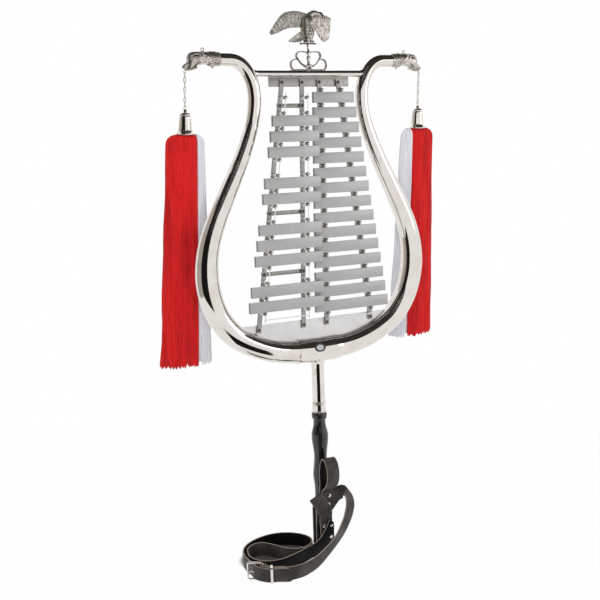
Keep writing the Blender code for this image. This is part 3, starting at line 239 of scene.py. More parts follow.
def dark_bronze(name):
    """Browned screw heads, rubbed a little brighter on top."""
    f = Finish(name)
    rub = f.noise(f.place(), 900, 3)
    colour = f.mix(rub, (0.09, 0.065, 0.045), (0.22, 0.17, 0.12))
    return f.done(Base_Color=colour, Metallic=0.9, Roughness=0.28 + 0.2 * rub, Normal=f.bump(rub, 0.3, 0.0002))


def soft_rubber(name, black, dusty):
    """Dull rubber, dusty in places."""
    f = Finish(name)
    dust = f.noise(f.place(), 700, 4)
    colour = f.mix(dust, black, dusty)
    return f.done(Base_Color=colour, Roughness=0.62 + 0.2 * dust, Normal=f.bump(dust, 0.4, 0.0002))


def black_lacquer(name):
    """Sprayed black lacquer over turned wood, with a faint grain and handling marks."""
    f = Finish(name)
    grain = f.noise(f.place((1, 1, 0.08)), 380, 4, 0.6)
    peel = f.noise(f.place(), 420, 2)
    wear = f.ramp(f.noise(f.place((1, 1, 0.5)), 42, 5), (0.50, 0.0), (0.74, 1.0))
    colour = f.mix(0.6 * wear + 0.2 * grain, (0.005, 0.005, 0.005), (0.026, 0.025, 0.023))
    return f.done(
        Base_Color=colour,
        Roughness=0.17 + 0.16 * wear + 0.06 * grain,
        Coat_Weight=0.45 - 0.30 * wear,
        Coat_Roughness=0.12,
        Normal=f.bump(peel + 0.5 * grain, 0.12, 0.0004),
    )


def hide_face(name, base, worn, creases=1.0, shine=0.4):
    """The grain side of the leather: fine pores, long creases and a rubbed sheen."""
    f = Finish(name)
    pores = f.cells(f.place(), 900)
    grain = f.noise(f.place(), 520, 5, 0.65)
    crease = f.ramp(f.noise(f.place((1, 1, 2.2)), 95, 5, 0.7), (0.46, 1.0), (0.50, 0.0), (0.54, 1.0))
    rub = f.ramp(f.noise(f.place(), 30, 5), (0.38, 0.0), (0.70, 1.0))
    colour = f.mix(0.8 * rub + 0.15 * grain, base, worn)
    colour = f.mix(0.35 * creases * (1 - crease), colour, tuple(0.45 * c for c in base))
    return f.done(
        Base_Color=colour,
        Specular_IOR_Level=shine,
        Roughness=0.50 - 0.12 * rub + 0.15 * grain,
        Normal=f.bump(grain + 0.6 * pores + 0.8 * creases * crease, 0.45, 0.0004),
    )


def hide_edge(name):
    """The cut edge of the leather: pale, fibrous, darkened here and there by dye."""
    f = Finish(name)
    fibre = f.noise(f.place(), 640, 5, 0.7)
    dye = f.ramp(f.noise(f.place(), 60, 4), (0.35, 0.0), (0.75, 1.0))
    colour = f.mix(fibre, (0.44, 0.365, 0.295), (0.23, 0.18, 0.14))
    colour = f.mix(0.30 * dye, colour, (0.12, 0.09, 0.07))
    return f.done(Base_Color=colour, Roughness=0.80 + 0.1 * fibre, Normal=f.bump(fibre, 0.6, 0.0004))


def braided_cord(name):
    """White braided cord: two sets of strands that cross, with painted shade between them, a little soiled."""
    f = Finish(name)
    where = f.place()
    height = f.part(where, 2)
    across = f.part(where, 0) + f.part(where, 1)
    one = f.node("ShaderNodeMath", {"operation": "SINE"}, {0: 2600 * height + 2600 * across})
    two = f.node("ShaderNodeMath", {"operation": "SINE"}, {0: 2600 * height - 2600 * across})
    strands = f.ramp(one * two, (0.0, 0.0), (0.9, 1.0))
    soil = f.noise(where, 300, 4)
    # Darker between the strands: painted shade in the braid's gaps.
    colour = f.mix(0.4 * soil + 0.2 * (1 - strands), (0.97, 0.97, 0.96), (0.80, 0.79, 0.76))
    return f.done(Base_Color=colour, Roughness=0.85, Normal=f.bump(strands, 0.6, 0.0003))


def horse_hair(name, light, mid, deep, tilt, sheen):
    """Dyed hair: fine strands down the tassel in several tones, with painted shade in the partings and in soft folds.
    """
    f = Finish(name)
    fine = f.noise(f.place((1, 1, 0.012), tilt), 1300, 3, 0.6)
    strand = f.noise(f.place((1, 1, 0.020), tilt), 420, 3, 0.6)
    lock = f.noise(f.place((1, 1, 0.05), tilt), 120, 3, 0.6)
    tone = f.ramp(0.45 * fine + 0.35 * strand + 0.2 * lock, (0.36, 0.0), (0.62, 1.0))
    painted_parting_shade = f.ramp(strand * lock, (0.12, 1.0), (0.18, 0.0))
    painted_fold_shade = f.ramp(f.noise(f.place((1, 1, 0.06), tilt), 62, 2, 0.5), (0.36, 1.0), (0.54, 0.0))
    colour = f.mix(tone, mid, light)
    # The deep tone is painted shade in the partings between locks and in the folds.
    colour = f.mix(0.45 * painted_parting_shade + 0.38 * painted_fold_shade, colour, deep)
    return f.done(
        Specular_IOR_Level=0.15,
        Base_Color=colour,
        Roughness=0.52 + 0.15 * (1 - fine),
        Sheen_Weight=sheen,
        Sheen_Roughness=0.4,
        Normal=f.bump(fine + 0.8 * strand + 0.6 * lock, 0.45, 0.0007),
    )


def enamel(name, colour, mark):
    """Enamel on the bare oval badge, lightly scratched."""
    f = Finish(name)
    scratch = f.noise(f.place((1, 1, 9)), 420, 4)
    return f.done(
        Base_Color=f.mix(0.6 * scratch, colour, mark),
        Roughness=0.22 + 0.2 * scratch,
        Coat_Weight=0.4,
        Normal=f.bump(scratch, 0.15, 0.0002),
    )


CHROME = polished_plate("polished_plate", (0.765, 0.725, 0.68), (0.60, 0.555, 0.50))
CHROME_SMALL = polished_plate("polished_small_parts", (0.76, 0.725, 0.67), (0.52, 0.475, 0.41), 0.10, 0.1)
NICKEL = polished_plate("satin_nickel", (0.74, 0.72, 0.69), (0.52, 0.49, 0.45), 0.22, 0.1)
CAST = cast_plate("cast_plate", (0.66, 0.625, 0.58), (0.20, 0.165, 0.135), 0.35)
HEAD_CAST = cast_plate("cast_head_plate", (0.74, 0.705, 0.655), (0.27, 0.225, 0.185), 0.08)
SCROLL_CAST = cast_plate("cast_scroll_plate", (0.30, 0.265, 0.235), (0.10, 0.082, 0.070), 0.25)
TARNISH_AND_SHADE = tarnish_and_painted_shade("tarnish_and_painted_shade_plate")
BAR = brushed_bar("brushed_bar", (0.50, 0.492, 0.483), (0.45, 0.442, 0.434), 0.45)
RACK = brushed_bar("brushed_rack", (0.42, 0.42, 0.41), (0.33, 0.33, 0.325))
PLATE = brushed_bar("brushed_top_plate", (0.46, 0.445, 0.42), (0.37, 0.355, 0.33))
BRIGHT_PLATE = brushed_bar("brushed_bottom_plate", (0.80, 0.79, 0.78), (0.70, 0.69, 0.68))
BRACE = brushed_bar("brushed_brace", (0.38, 0.37, 0.345), (0.29, 0.28, 0.26))
BAR_END_IN_SHADE = sawn_end_in_painted_shade("sawn_bar_end_in_painted_shade")
SCREW = dark_bronze("browned_screw")
RUBBER = soft_rubber("dark_rubber", (0.028, 0.028, 0.030), (0.085, 0.083, 0.080))
# Dull dark grey that paints the dark rim of the post heads and the shade in the screws' recesses.
PAINTED_DARK_RIM_AND_RECESS = soft_rubber("painted_dark_rim_and_recess", (0.075, 0.075, 0.078), (0.17, 0.168, 0.162))
LACQUER = black_lacquer("black_lacquer_finish")
HIDE = hide_face("leather_face", (0.026, 0.022, 0.019), (0.088, 0.076, 0.063))
# The straps' back side, painted near black as the shade on the inner faces of the loops and the coil.
HIDE_BACK_IN_SHADE = hide_face("leather_back_in_painted_shade", (0.004, 0.004, 0.005), (0.011, 0.010, 0.010), 0.4, 0.12)
HIDE_EDGE = hide_edge("leather_edge")
CORD = braided_cord("braided_cord")
HAIR_TURN = (math.radians(-7), 0, 0)
# The third tone of each is the painted shade of the partings and folds.
RED_TONES = (0.86, 0.019, 0.020), (0.66, 0.009, 0.011), (0.34, 0.003, 0.005)
WHITE_TONES = (0.94, 0.94, 0.98), (0.84, 0.84, 0.91), (0.62, 0.62, 0.73)
RED_HAIR = horse_hair("red_horse_hair", *RED_TONES, HAIR_TURN, 0.04)
WHITE_HAIR = horse_hair("white_horse_hair", *WHITE_TONES, HAIR_TURN, 0.05)
BADGE_RIM = enamel("badge_rim", (0.006, 0.006, 0.007), (0.022, 0.022, 0.025))
BADGE_FACE = enamel("badge_face", (0.58, 0.58, 0.60), (0.40, 0.40, 0.42))


# Shapes

def course(points, steps):
    """A Catmull-Rom curve through points, with steps spans between neighbours."""
    rows = [Vector(p) for p in points]
    rows = [2 * rows[0] - rows[1], *rows, 2 * rows[-1] - rows[-2]]
    path = []
    for i in range(1, len(rows) - 2):
        a, b, c, d = rows[i - 1 : i + 3]
        for j in range(steps):
            t = j / steps
            path.append(
                0.5 * (2 * b + (c - a) * t + (2 * a - 5 * b + 4 * c - d) * t**2 + (3 * b - a - 3 * c + d) * t**3)
            )
    path.append(rows[-2])
    return path


def headings(path, closed=False):
    """The direction in which a path runs at each of its points."""
    last = len(path) - 1
    if closed:
        return [(path[(i + 1) % (last + 1)] - path[i - 1]).normalized() for i in range(last + 1)]
    return [(path[min(i + 1, last)] - path[max(i - 1, 0)]).normalized() for i in range(last + 1)]


def stops(path, sides, widths, heights, closed=False):
    """The place of a cross-section at each point: its side, its up and its heading, sized."""
    places = []
    for centre, ahead, side, wide, tall in zip(path, headings(path, closed), sides, widths, heights):
        side = (side - side.dot(ahead) * ahead).normalized()
        up = ahead.cross(side)
        turn = Matrix((side * wide, up * tall, ahead)).transposed().to_4x4()
        places.append(Matrix.Translation(centre) @ turn)
    return places


def carry(bm, ring, places, slots=None):
    """Extrudes a ring of edges from place to place; slots give each side its finish."""
    slots = slots or [0] * len(ring)
    start = ring
    for before, after in zip(places, places[1:]):
        grown = bmesh.ops.extrude_edge_only(bm, edges=ring)["geom"]
        moved = [g for g in grown if isinstance(g, bmesh.types.BMVert)]
        bmesh.ops.transform(bm, matrix=after @ before.inverted(), verts=moved)
        faces = {g for g in grown if isinstance(g, bmesh.types.BMFace)}
        step = []
        for edge, slot in zip(ring, slots):
            face = next(f for f in edge.link_faces if f in faces)
            face.material_index = slot
            step.append(next(e for e in face.edges if not set(e.verts) & set(edge.verts)))
        ring = step
    return start, ring


def loop_edges(bm, verts):
    pairs = zip(verts, verts[1:] + verts[:1])
    return [bm.edges.get(pair) or bm.edges.new(pair) for pair in pairs]


def tube(bm, path, radii, sides=16, flat=1.0, side=Y, closed=False, slot=0):
    """A round tube along a path; flat squashes it across its side direction."""
    places = stops(path, [side] * len(path), radii, [r * flat for r in radii], closed)
    verts = bmesh.ops.create_circle(bm, segments=sides, radius=1, matrix=places[0])["verts"]
    first, last = carry(bm, loop_edges(bm, verts), places, [slot] * sides)
    if closed:
        faces = bmesh.ops.bridge_loops(bm, edges=first + last)["faces"]
        for face in faces:
            face.material_index = slot
    else:
        for rim in (first, last):
            for face in bmesh.ops.edgeloop_fill(bm, edges=rim)["faces"]:
                face.material_index = slot


def strip(bm, section, places, slots):
    """A long piece of any outline: its corners are carried along the places and its ends closed."""
    verts = [bm.verts.new(places[0] @ Vector((x, y, 0))) for x, y in section]
    first, last = carry(bm, loop_edges(bm, verts), places, slots)
    for rim in (first, last):
        for face in bmesh.ops.edgeloop_fill(bm, edges=rim)["faces"]:
            face.material_index = max(slots)


def turned(bm, profile, sides=48, place=Matrix.Identity(4), slot=0):
    """A turned shape about Z from (height, radius) pairs, closed where the radius is nothing."""
    verts = [bm.verts.new((radius, 0, height)) for height, radius in profile]
    edges = [bm.edges.new(pair) for pair in zip(verts, verts[1:])]
    bmesh.ops.spin(
        bm, geom=verts + edges, cent=(0, 0, 0), axis=(0, 0, 1), angle=math.tau, steps=sides, use_merge=True
    )
    grown = {v for e in edges for v in e.verts}
    reach = list(grown)
    while reach:
        vert = reach.pop()
        for edge in vert.link_edges:
            other = edge.other_vert(vert)
            if other not in grown:
                grown.add(other)
                reach.append(other)
    for face in {f for v in grown for f in v.link_faces}:
        face.material_index = slot
    bmesh.ops.transform(bm, matrix=place, verts=list(grown))
    bmesh.ops.remove_doubles(bm, verts=[v for v in grown if v.is_valid], dist=1e-6)


def block(bm, low, high, round_off=0.0, slot=0):
    """A box between two corners with its edges rounded."""
    low, high = Vector(low), Vector(high)
    place = Matrix.LocRotScale((low + high) / 2, None, high - low)
    verts = bmesh.ops.create_cube(bm, size=1, matrix=place)["verts"]
    faces = {f for v in verts for f in v.link_faces}
    if round_off:
        edges = {e for v in verts for e in v.link_edges}
        cut = bmesh.ops.bevel(
            bm, geom=list(edges), offset=round_off, segments=2, profile=0.5, affect="EDGES", material=-1
        )
        faces = {f for f in faces if f.is_valid} | set(cut["faces"])
    for face in faces:
        face.material_index = slot
    return faces


def facing(direction, at=(0, 0, 0)):
    """The place of a turned shape that stands along a direction from a point."""
    return Matrix.Translation(at) @ Vector(direction).to_track_quat("Z", "Y").to_matrix().to_4x4()


def dome(reach, height, steps=5, start=0.0):
    """Half a rounded head as a (height, radius) profile that closes on its axis."""
    turns = [math.pi / 2 * i / steps for i in range(steps + 1)]
    return [(start + height * math.sin(t), max(reach * math.cos(t), 0.0)) for t in turns]


def ring(bm, centre, axis, radius, wire, sides=24, wire_sides=10, slot=0):
    """A round wire ring about an axis."""
    across = axis.orthogonal().normalized()
    over = axis.cross(across)
    turns = [math.tau * i / sides for i in range(sides)]
    path = [centre + radius * (math.cos(t) * across + math.sin(t) * over) for t in turns]
    tube(bm, path, [wire] * sides, wire_sides, side=axis, closed=True, slot=slot)


LEAF_SIDES = 6


def leaf(bm, start, end, width, thick, face, bow=0.0, blunt=0.55, slot=0, steps=5):
    """A feather: a flat pointed leaf from start to end that faces one way and bows towards it."""
    start, end, face = Vector(start), Vector(end), Vector(face).normalized()
    shares = [0.0, 0.12, 0.35, 0.62, 0.82, 0.94, 1.0] if steps > 4 else [0.0, 0.3, 0.7, 1.0]
    shape = [0.45, 0.80, 1.0, 0.97, 0.80, blunt, 0.12] if steps > 4 else [0.6, 1.0, 0.85, 0.2]
    path = [start.lerp(end, s) + face * bow * math.sin(math.pi * s) for s in shares]
    side = (end - start).cross(face)
    if side.length < 1e-9:
        side = (end - start).orthogonal()
    heights = [thick * (0.4 + 0.6 * k) / 2 for k in shape]
    places = stops(path, [side] * len(path), [width * k / 2 for k in shape], heights)
    verts = bmesh.ops.create_circle(bm, segments=LEAF_SIDES, radius=1, matrix=places[0])["verts"]
    first, last = carry(bm, loop_edges(bm, verts), places, [slot] * LEAF_SIDES)
    for rim in (first, last):
        for made in bmesh.ops.edgeloop_fill(bm, edges=rim)["faces"]:
            made.material_index = slot


def finish(name, bm, body, finishes, stands_for=(), slot=None, crease=35):
    """Turns a bmesh into a shown piece that rides on a body and may stand for CAD nodes."""
    bmesh.ops.recalc_face_normals(bm, faces=bm.faces)
    mesh = bpy.data.meshes.new(name)
    bm.to_mesh(mesh)
    bm.free()
    mesh.shade_smooth()
    mesh.set_sharp_from_angle(angle=math.radians(crease))
    for material in finishes:
        mesh.materials.append(material)
    piece = bpy.data.objects.new(name, mesh)
    bpy.context.collection.objects.link(piece)
    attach(piece, body)
    if stands_for:
        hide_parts(*stands_for)
    return piece


# Sizes shared with the solids
GAP = 0.0003
POLE_FOOT_Z, POLE_TOP_Z, FERRULE_TOP_Z, BASE_Z = 0.0033, 0.2776, 0.2984, 0.4005
POLE_LENGTH, POLE_RADIUS = 0.2743, 0.0132
CROSSBAR_Z, CROSSBAR_RADIUS = 0.9215, 0.0063
HALF_BELLY, HALF_WAIST, WAIST_RISE, BELLY_RISE = 0.2195, 0.1130, 0.4745, 0.1735
NECK_END_X, NECK_END_RISE = 0.1790, 0.5460
HEAD_Z = BASE_Z + NECK_END_RISE
BASE_RADIUS, NECK_RADIUS, END_RADIUS = 0.0215, 0.0125, 0.0118
SOCKET_HALF, SOCKET_WALL, SOCKET_NECK = 0.0500, 0.0021, 0.0122
BAR_PITCH, BAR_WIDTH, BAR_THICK = 0.028, 0.020, 0.007
NATURAL_COUNT, NATURAL_LEFT, NATURAL_LEFT_STEP = 15, -0.0009, 0.00055
NATURAL_LENGTH, NATURAL_LENGTH_STEP = 0.0868, 0.0052
SHARP_RIGHT, SHARP_LENGTH, SHARP_LENGTH_STEP = 0.0028, 0.0945, 0.0049
FIRST_BAR_Z = CROSSBAR_Z - 0.0445
RAIL_TOP_Z, RAIL_FOOT_Z = 0.9109, 0.4470
RAIL_TOP_X = (-0.0575, -0.0168, 0.0192, 0.0590)
RAIL_FOOT_X = (-0.1235, -0.0290, 0.0210, 0.1190)
RAIL_BACK_Y, RAIL_FRONT_Y, RAIL_WIDTH = -0.0013, -0.0043, 0.0090
NATURAL_Y, SHARP_Y = -0.0140, -0.0255
SHARP_SLOTS = (2, 3, 4, 6, 7, 9, 10, 11, 13, 14)
BRACE_SLOTS = (1, 8, 12)


# Lyre

def arm_course(side):
    """The middle line of one arm, from the middle of the base up to the head."""
    swing, climb, low = HALF_BELLY - HALF_WAIST, WAIST_RISE - BELLY_RISE, BELLY_RISE
    over = NECK_END_X - HALF_WAIST
    points = [(share * HALF_BELLY, rise * low) for share, rise in (
        (0, 0), (0.21, 0.010), (0.41, 0.048), (0.61, 0.140), (0.785, 0.280), (0.916, 0.495), (0.986, 0.750), (1, 1))]
    points += [(HALF_WAIST + share * swing, low + rise * climb) for share, rise in (
        (0.939, 0.140), (0.795, 0.280), (0.573, 0.442), (0.347, 0.601), (0.160, 0.754), (0.043, 0.884), (0, 1))]
    points += [(HALF_WAIST + share * over, WAIST_RISE + rise * (NECK_END_RISE - WAIST_RISE)) for share, rise in (
        (0.055, 0.42), (0.245, 0.77), (0.550, 0.97), (1, 1))]
    return course([(side * x, 0, BASE_Z + z) for x, z in points], 6)


def arm_radius(point):
    """Thick up to the belly, thinner towards the waist, and a little thinner still at the head."""
    rise = point.z - BASE_Z
    share = (WAIST_RISE - 0.04 - rise) / (WAIST_RISE - 0.04 - BELLY_RISE + 0.02)
    radius = NECK_RADIUS + (BASE_RADIUS - NECK_RADIUS) * min(max(share, 0.0), 1.0)
    if rise > WAIST_RISE:
        share = (abs(point.x) - HALF_WAIST) / (NECK_END_X - HALF_WAIST)
        radius += (END_RADIUS - NECK_RADIUS) * min(share, 1.0)
    return radius


def make_arms():
    """Each bent tube runs from the middle of the base sleeve up to its head."""
    for name, side in (("arm_left", -1), ("arm_right", 1)):
        path = arm_course(side)
        path[0] = Vector((side * GAP, 0, BASE_Z))
        bm = bmesh.new()
        tube(bm, path, [arm_radius(p) for p in path], 48)
        finish(name + "_tube", bm, "lyre", [CHROME], [name], "chrome")


def make_crossbar():
    """The bar between the arms, with a ground weld where it meets each."""
    reach = min((p for p in arm_course(1) if p.z > BASE_Z + WAIST_RISE), key=lambda p: abs(p.z - CROSSBAR_Z)).x
    bm = bmesh.new()
    path = [Vector((x, 0, CROSSBAR_Z)) for x in (-reach + 0.006, -0.06, 0, 0.06, reach - 0.006)]
    tube(bm, path, [CROSSBAR_RADIUS] * 5, 32)
    for side in (-1, 1):
        weld = [Vector((side * (reach - d), 0, CROSSBAR_Z)) for d in (0.0175, 0.0155, 0.0130, 0.0105, 0.0080)]
        tube(bm, weld, [0.00635, 0.0067, 0.0074, 0.0085, 0.0096], 32)
    finish("crossbar_tube", bm, "lyre", [CHROME], ["crossbar"], "chrome")


def make_base():
    """The tee: a sleeve round both arms, a flared neck for the pole, and a bare oval badge."""
    right = [p for p in arm_course(1) if p.x < SOCKET_HALF]
    path = [Vector((-p.x, 0, p.z)) for p in reversed(right[1:])] + right
    radius = BASE_RADIUS + GAP + SOCKET_WALL
    last = len(path) - 1
    radii = [radius - (0.0009 if i in (0, last) else 0) for i in range(last + 1)]
    bm = bmesh.new()
    tube(bm, path, radii, 48)
    foot = FERRULE_TOP_Z + GAP
    neck = [(foot, 0.0), (foot, SOCKET_NECK - 0.0004), (FERRULE_TOP_Z + 0.0009, SOCKET_NECK)]
    neck += [(FERRULE_TOP_Z + 0.0016, SOCKET_NECK), (BASE_Z - 0.0375, SOCKET_NECK)]
    rises = [(0.0340, 0.0), (0.0295, 0.0001), (0.0262, 0.0008), (0.0235, 0.0020), (0.0205, 0.0038), (0.0165, 0.0062)]
    neck += [(BASE_Z - drop, SOCKET_NECK + out) for drop, out in rises] + [(BASE_Z - 0.0020, 0.0187), (BASE_Z, 0.0)]
    turned(bm, neck, 48)
    finish("base_tee", bm, "lyre", [CHROME], ["base_socket"], "chrome", 50)
    bm = bmesh.new()
    lift = math.radians(20)
    away = Vector((0, -math.cos(lift), math.sin(lift)))
    seat = Vector((-0.0055, 0, BASE_Z)) + away * (radius - 0.0005)
    oval = Matrix.Diagonal((1.0, 0.70, 1.0, 1.0))
    rim = [(0, 0.0116), (0.0010, 0.0116), (0.0016, 0.0110), (0.0016, 0.0082), (0.0012, 0.0076), (0.0012, 0)]
    place = facing(away, seat)
    turned(bm, rim, 48, place @ oval)
    home = place.inverted()
    for face in bm.faces:
        spot = home @ face.calc_center_median()
        face.material_index = 1 if math.hypot(spot.x, spot.y / 0.70) < 0.0072 else 0
    finish("base_badge", bm, "lyre", [BADGE_RIM, BADGE_FACE], slot="chrome")


def pole_profile():
    """The pole's turned outline, smoothed from the same shares as its solid."""
    shape = [(0.016, 0.99), (0.20, 0.985), (0.42, 0.98), (0.475, 1.02), (0.535, 1.17), (0.575, 1.13), (0.66, 0.955),
             (0.72, 1.0), (0.80, 1.21), (0.845, 1.22), (0.905, 0.93), (0.945, 0.91), (0.962, 1.09), (0.985, 1.12)]
    rows = course([(a, b, 0) for a, b in shape], 5)
    shape = [(0, 0), (0, 0.80), (0.003, 0.90), (0.008, 0.95)] + [(p.x, min(p.y, 1.22)) for p in rows]
    shape += [(0.996, 1.10), (1.0, 1.03), (1.0, 0)]
    return [(POLE_FOOT_Z + POLE_LENGTH * a, POLE_RADIUS * b) for a, b in shape]


def make_pole():
    """The lacquered turning, and the ringed collar that stands on its top."""
    bm = bmesh.new()
    turned(bm, pole_profile(), 64)
    finish("pole_turning", bm, "lyre", [LACQUER], ["pole_grip"], "black_lacquer", 60)
    low, high, r = POLE_TOP_Z + GAP, FERRULE_TOP_Z, 0.0136
    profile = [(low, 0), (low, r - 0.0010), (low + 0.0006, r + 0.0001), (low + 0.0016, r + 0.0004), (low + 0.0024, r),
               (low + 0.0028, r - 0.0009), (low + 0.0034, r - 0.0005), (low + 0.0042, r - 0.0005),
               (high - 0.0074, r - 0.0006), (high - 0.0066, r - 0.0006),
               (high - 0.0061, r - 0.0013), (high - 0.0055, r - 0.0002), (high - 0.0043, r),
               (high - 0.0035, r - 0.0004),
               (high - 0.0030, r - 0.0014), (high - 0.0024, r - 0.0005), (high - 0.0012, r - 0.0004),
               (high - 0.0004, r - 0.0012), (high, r - 0.0020), (high, 0)]
    bm = bmesh.new()
    turned(bm, profile, 64)
    finish("pole_collar", bm, "lyre", [CHROME], ["pole_ferrule"], "chrome", 50)


# Rack of bars

# DARK paints the dark rim of the post heads and the shade in the screws' recesses; BRIGHT also paints the bright
# middle of the post heads.
BRIGHT, DARK, BROWNED = 1, 2, 3  # the finishes of a rail's fittings


def bar_z(index):
    """The height of a natural bar's middle; a sharp stands at a half index."""
    return FIRST_BAR_Z - index * BAR_PITCH


def rail_x(index, height):
    """Where the middle of a slanted rail is at a height."""
    share = (RAIL_TOP_Z - height) / (RAIL_TOP_Z - RAIL_FOOT_Z)
    return RAIL_TOP_X[index] + (RAIL_FOOT_X[index] - RAIL_TOP_X[index]) * share


def make_bars():
    """Each bar is a rounded block with two cord holes through it, painted dark at its sawn ends as shade."""
    bars = []
    for i in range(NATURAL_COUNT):
        left = NATURAL_LEFT - NATURAL_LEFT_STEP * i
        right = left + NATURAL_LENGTH + NATURAL_LENGTH_STEP * i
        bars.append((f"bar_natural_{i + 1:02d}", left, right, bar_z(i), NATURAL_Y, (2, 3)))
    for i, slot in enumerate(SHARP_SLOTS):
        left = SHARP_RIGHT - SHARP_LENGTH - SHARP_LENGTH_STEP * (slot - 2)
        bars.append((f"bar_sharp_{i + 1:02d}", left, SHARP_RIGHT, bar_z(slot - 0.5), SHARP_Y, (0, 1)))
    for node, left, right, z, y, rails in bars:
        bm = bmesh.new()
        half = Vector((0, BAR_THICK / 2, BAR_WIDTH / 2))
        block(bm, Vector((left, y, z)) - half, Vector((right, y, z)) + half, 0.0005)
        # The sawn end faces take the darker finish: painted shade.
        for face in bm.faces:
            if abs(face.normal.x) > 0.7:
                face.material_index = 1
        for rail in rails:
            for end in (-1, 1):
                height = z + end * BAR_WIDTH / 2
                disc = Matrix.Translation((rail_x(rail, height), y, height - end * 0.0002))
                turned(bm, [(0, 0), (0.00025 * end, 0), (0.00025 * end, 0.0018), (0, 0.0019)], 10, disc, 2)
        finish(node + "_body", bm, "lyre", [BAR, BAR_END_IN_SHADE, RUBBER], [node], "bar_aluminium")


def add_post(bm, x, z, cord_y):
    """One post: a collar and nut on the rail, a shank, and a dark cup with a bright button in it, a painted reflection
    that is dark at the rim and bright in the middle.
    """
    out = facing(-Y, (x, RAIL_FRONT_Y, z))
    back = -(cord_y + 0.0035 - RAIL_FRONT_Y)
    turned(bm, [(0, 0.0043), (0.0009, 0.0043), (0.0011, 0.0040), (0.0011, 0)], 14, out, BRIGHT)
    turned(bm, [(0.0011, 0.0035), (0.0034, 0.0035), (0.0036, 0.0032), (0.0036, 0)], 6, out, BRIGHT)
    turned(bm, [(0.0030, 0.0021), (back, 0.0021)], 10, out, BRIGHT)
    # The dark foot and cup and the bright button are a painted reflection: dark at the head's rim, bright in its
    # middle.
    foot = [(back - 0.0011, 0), (back - 0.0011, 0.0034), (back - 0.0002, 0.0036), (back, 0.0036)]
    turned(bm, foot, 14, out, DARK)
    cup = [(back - 0.0001, 0.0), (back, 0.0036), (back + 0.0026, 0.0037)]
    turned(bm, cup + dome(0.0037, 0.0030, 4, back + 0.0026)[1:], 14, out, DARK)
    button = [(back + 0.0020, 0.0), (back + 0.0020, 0.0031), (back + 0.0041, 0.0031)]
    turned(bm, button + dome(0.0031, 0.0029, 4, back + 0.0041)[1:], 14, out, BRIGHT)


def add_screw(bm, x, y, z):
    """A domed screw head with its recess painted dark as shade."""
    out = facing(-Y, (x, y, z))
    turned(bm, [(0, 0.0031), (0.0007, 0.0031), (0.0014, 0.0025), (0.0018, 0.0014), (0.0018, 0.0011)], 16, out, BROWNED)
    # The recess is painted dark as its shade.
    turned(bm, [(0.0018, 0.0011), (0.0007, 0.0007), (0.0007, 0)], 16, out, DARK)


def make_rails():
    """Four slanted strips, each with a post between bars all the way down and its screws."""
    wide, back, front, cut = RAIL_WIDTH / 2, RAIL_BACK_Y, RAIL_FRONT_Y, 0.0005
    section = [(-wide, back), (wide, back), (wide, front + cut), (wide - cut, front)]
    section += [(cut - wide, front), (-wide, front + cut)]
    for index in range(4):
        if index < 2:
            cord_y, heights = SHARP_Y, [bar_z(i) for i in range(NATURAL_COUNT)]
        else:
            cord_y, heights = NATURAL_Y, [bar_z(i - 0.5) for i in range(NATURAL_COUNT + 1)]
        bm = bmesh.new()
        places = [Matrix.Translation((rail_x(index, z), 0, z)) for z in (RAIL_TOP_Z, RAIL_FOOT_Z)]
        strip(bm, section, places, [0] * 6)
        for z in heights:
            add_post(bm, rail_x(index, z), z, cord_y)
        screws = [RAIL_TOP_Z - 0.0054, RAIL_FOOT_Z + 0.0054]
        if index < 2:
            screws += [bar_z(slot - 0.5) for slot in BRACE_SLOTS]
        for z in screws:
            add_screw(bm, rail_x(index, z), RAIL_FRONT_Y, z)
        finishes = [RACK, NICKEL, PAINTED_DARK_RIM_AND_RECESS, SCREW]
        finish(f"rail_{index + 1}_strip", bm, "lyre", finishes, [f"rail_{index + 1}"], "rack_aluminium")


def make_plates():
    """The top plate, the three short braces, and the finish of the half-moon plate below."""
    top = CROSSBAR_Z - CROSSBAR_RADIUS - GAP
    bm = bmesh.new()
    block(bm, (-0.084, -0.001, top - 0.0175), (0.084, 0.001, top), 0.0004)
    for x in (0.0390, 0.0735):
        turned(bm, [(0, 0.0026), (0.00025, 0.0024), (0.00025, 0.0018), (0.0001, 0.0016), (0.0001, 0)], 20,
               facing(-Y, (x, -0.001, top - 0.0088)))
    finish("top_plate_sheet", bm, "lyre", [PLATE], ["top_plate"], "rack_aluminium")
    for number, slot in enumerate(BRACE_SLOTS):
        z = bar_z(slot - 0.5)
        low, high = rail_x(0, z) - RAIL_WIDTH / 2, rail_x(1, z) + RAIL_WIDTH / 2
        bm = bmesh.new()
        block(bm, (low, -0.001, z - 0.004), (high, 0.001, z + 0.004), 0.0003)
        middle = low + 0.30 * (high - low)
        block(bm, (middle - 0.0022, -0.0012, z - 0.0026), (middle + 0.0022, -0.0008, z + 0.0026), 0.0002, 1)
        finish(f"brace_{number + 1}_strip", bm, "lyre", [BRACE, NICKEL], [f"brace_{number + 1}"], "rack_aluminium")
    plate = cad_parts["bottom_plate"]
    for slot in plate.material_slots:
        slot.material = BRIGHT_PLATE


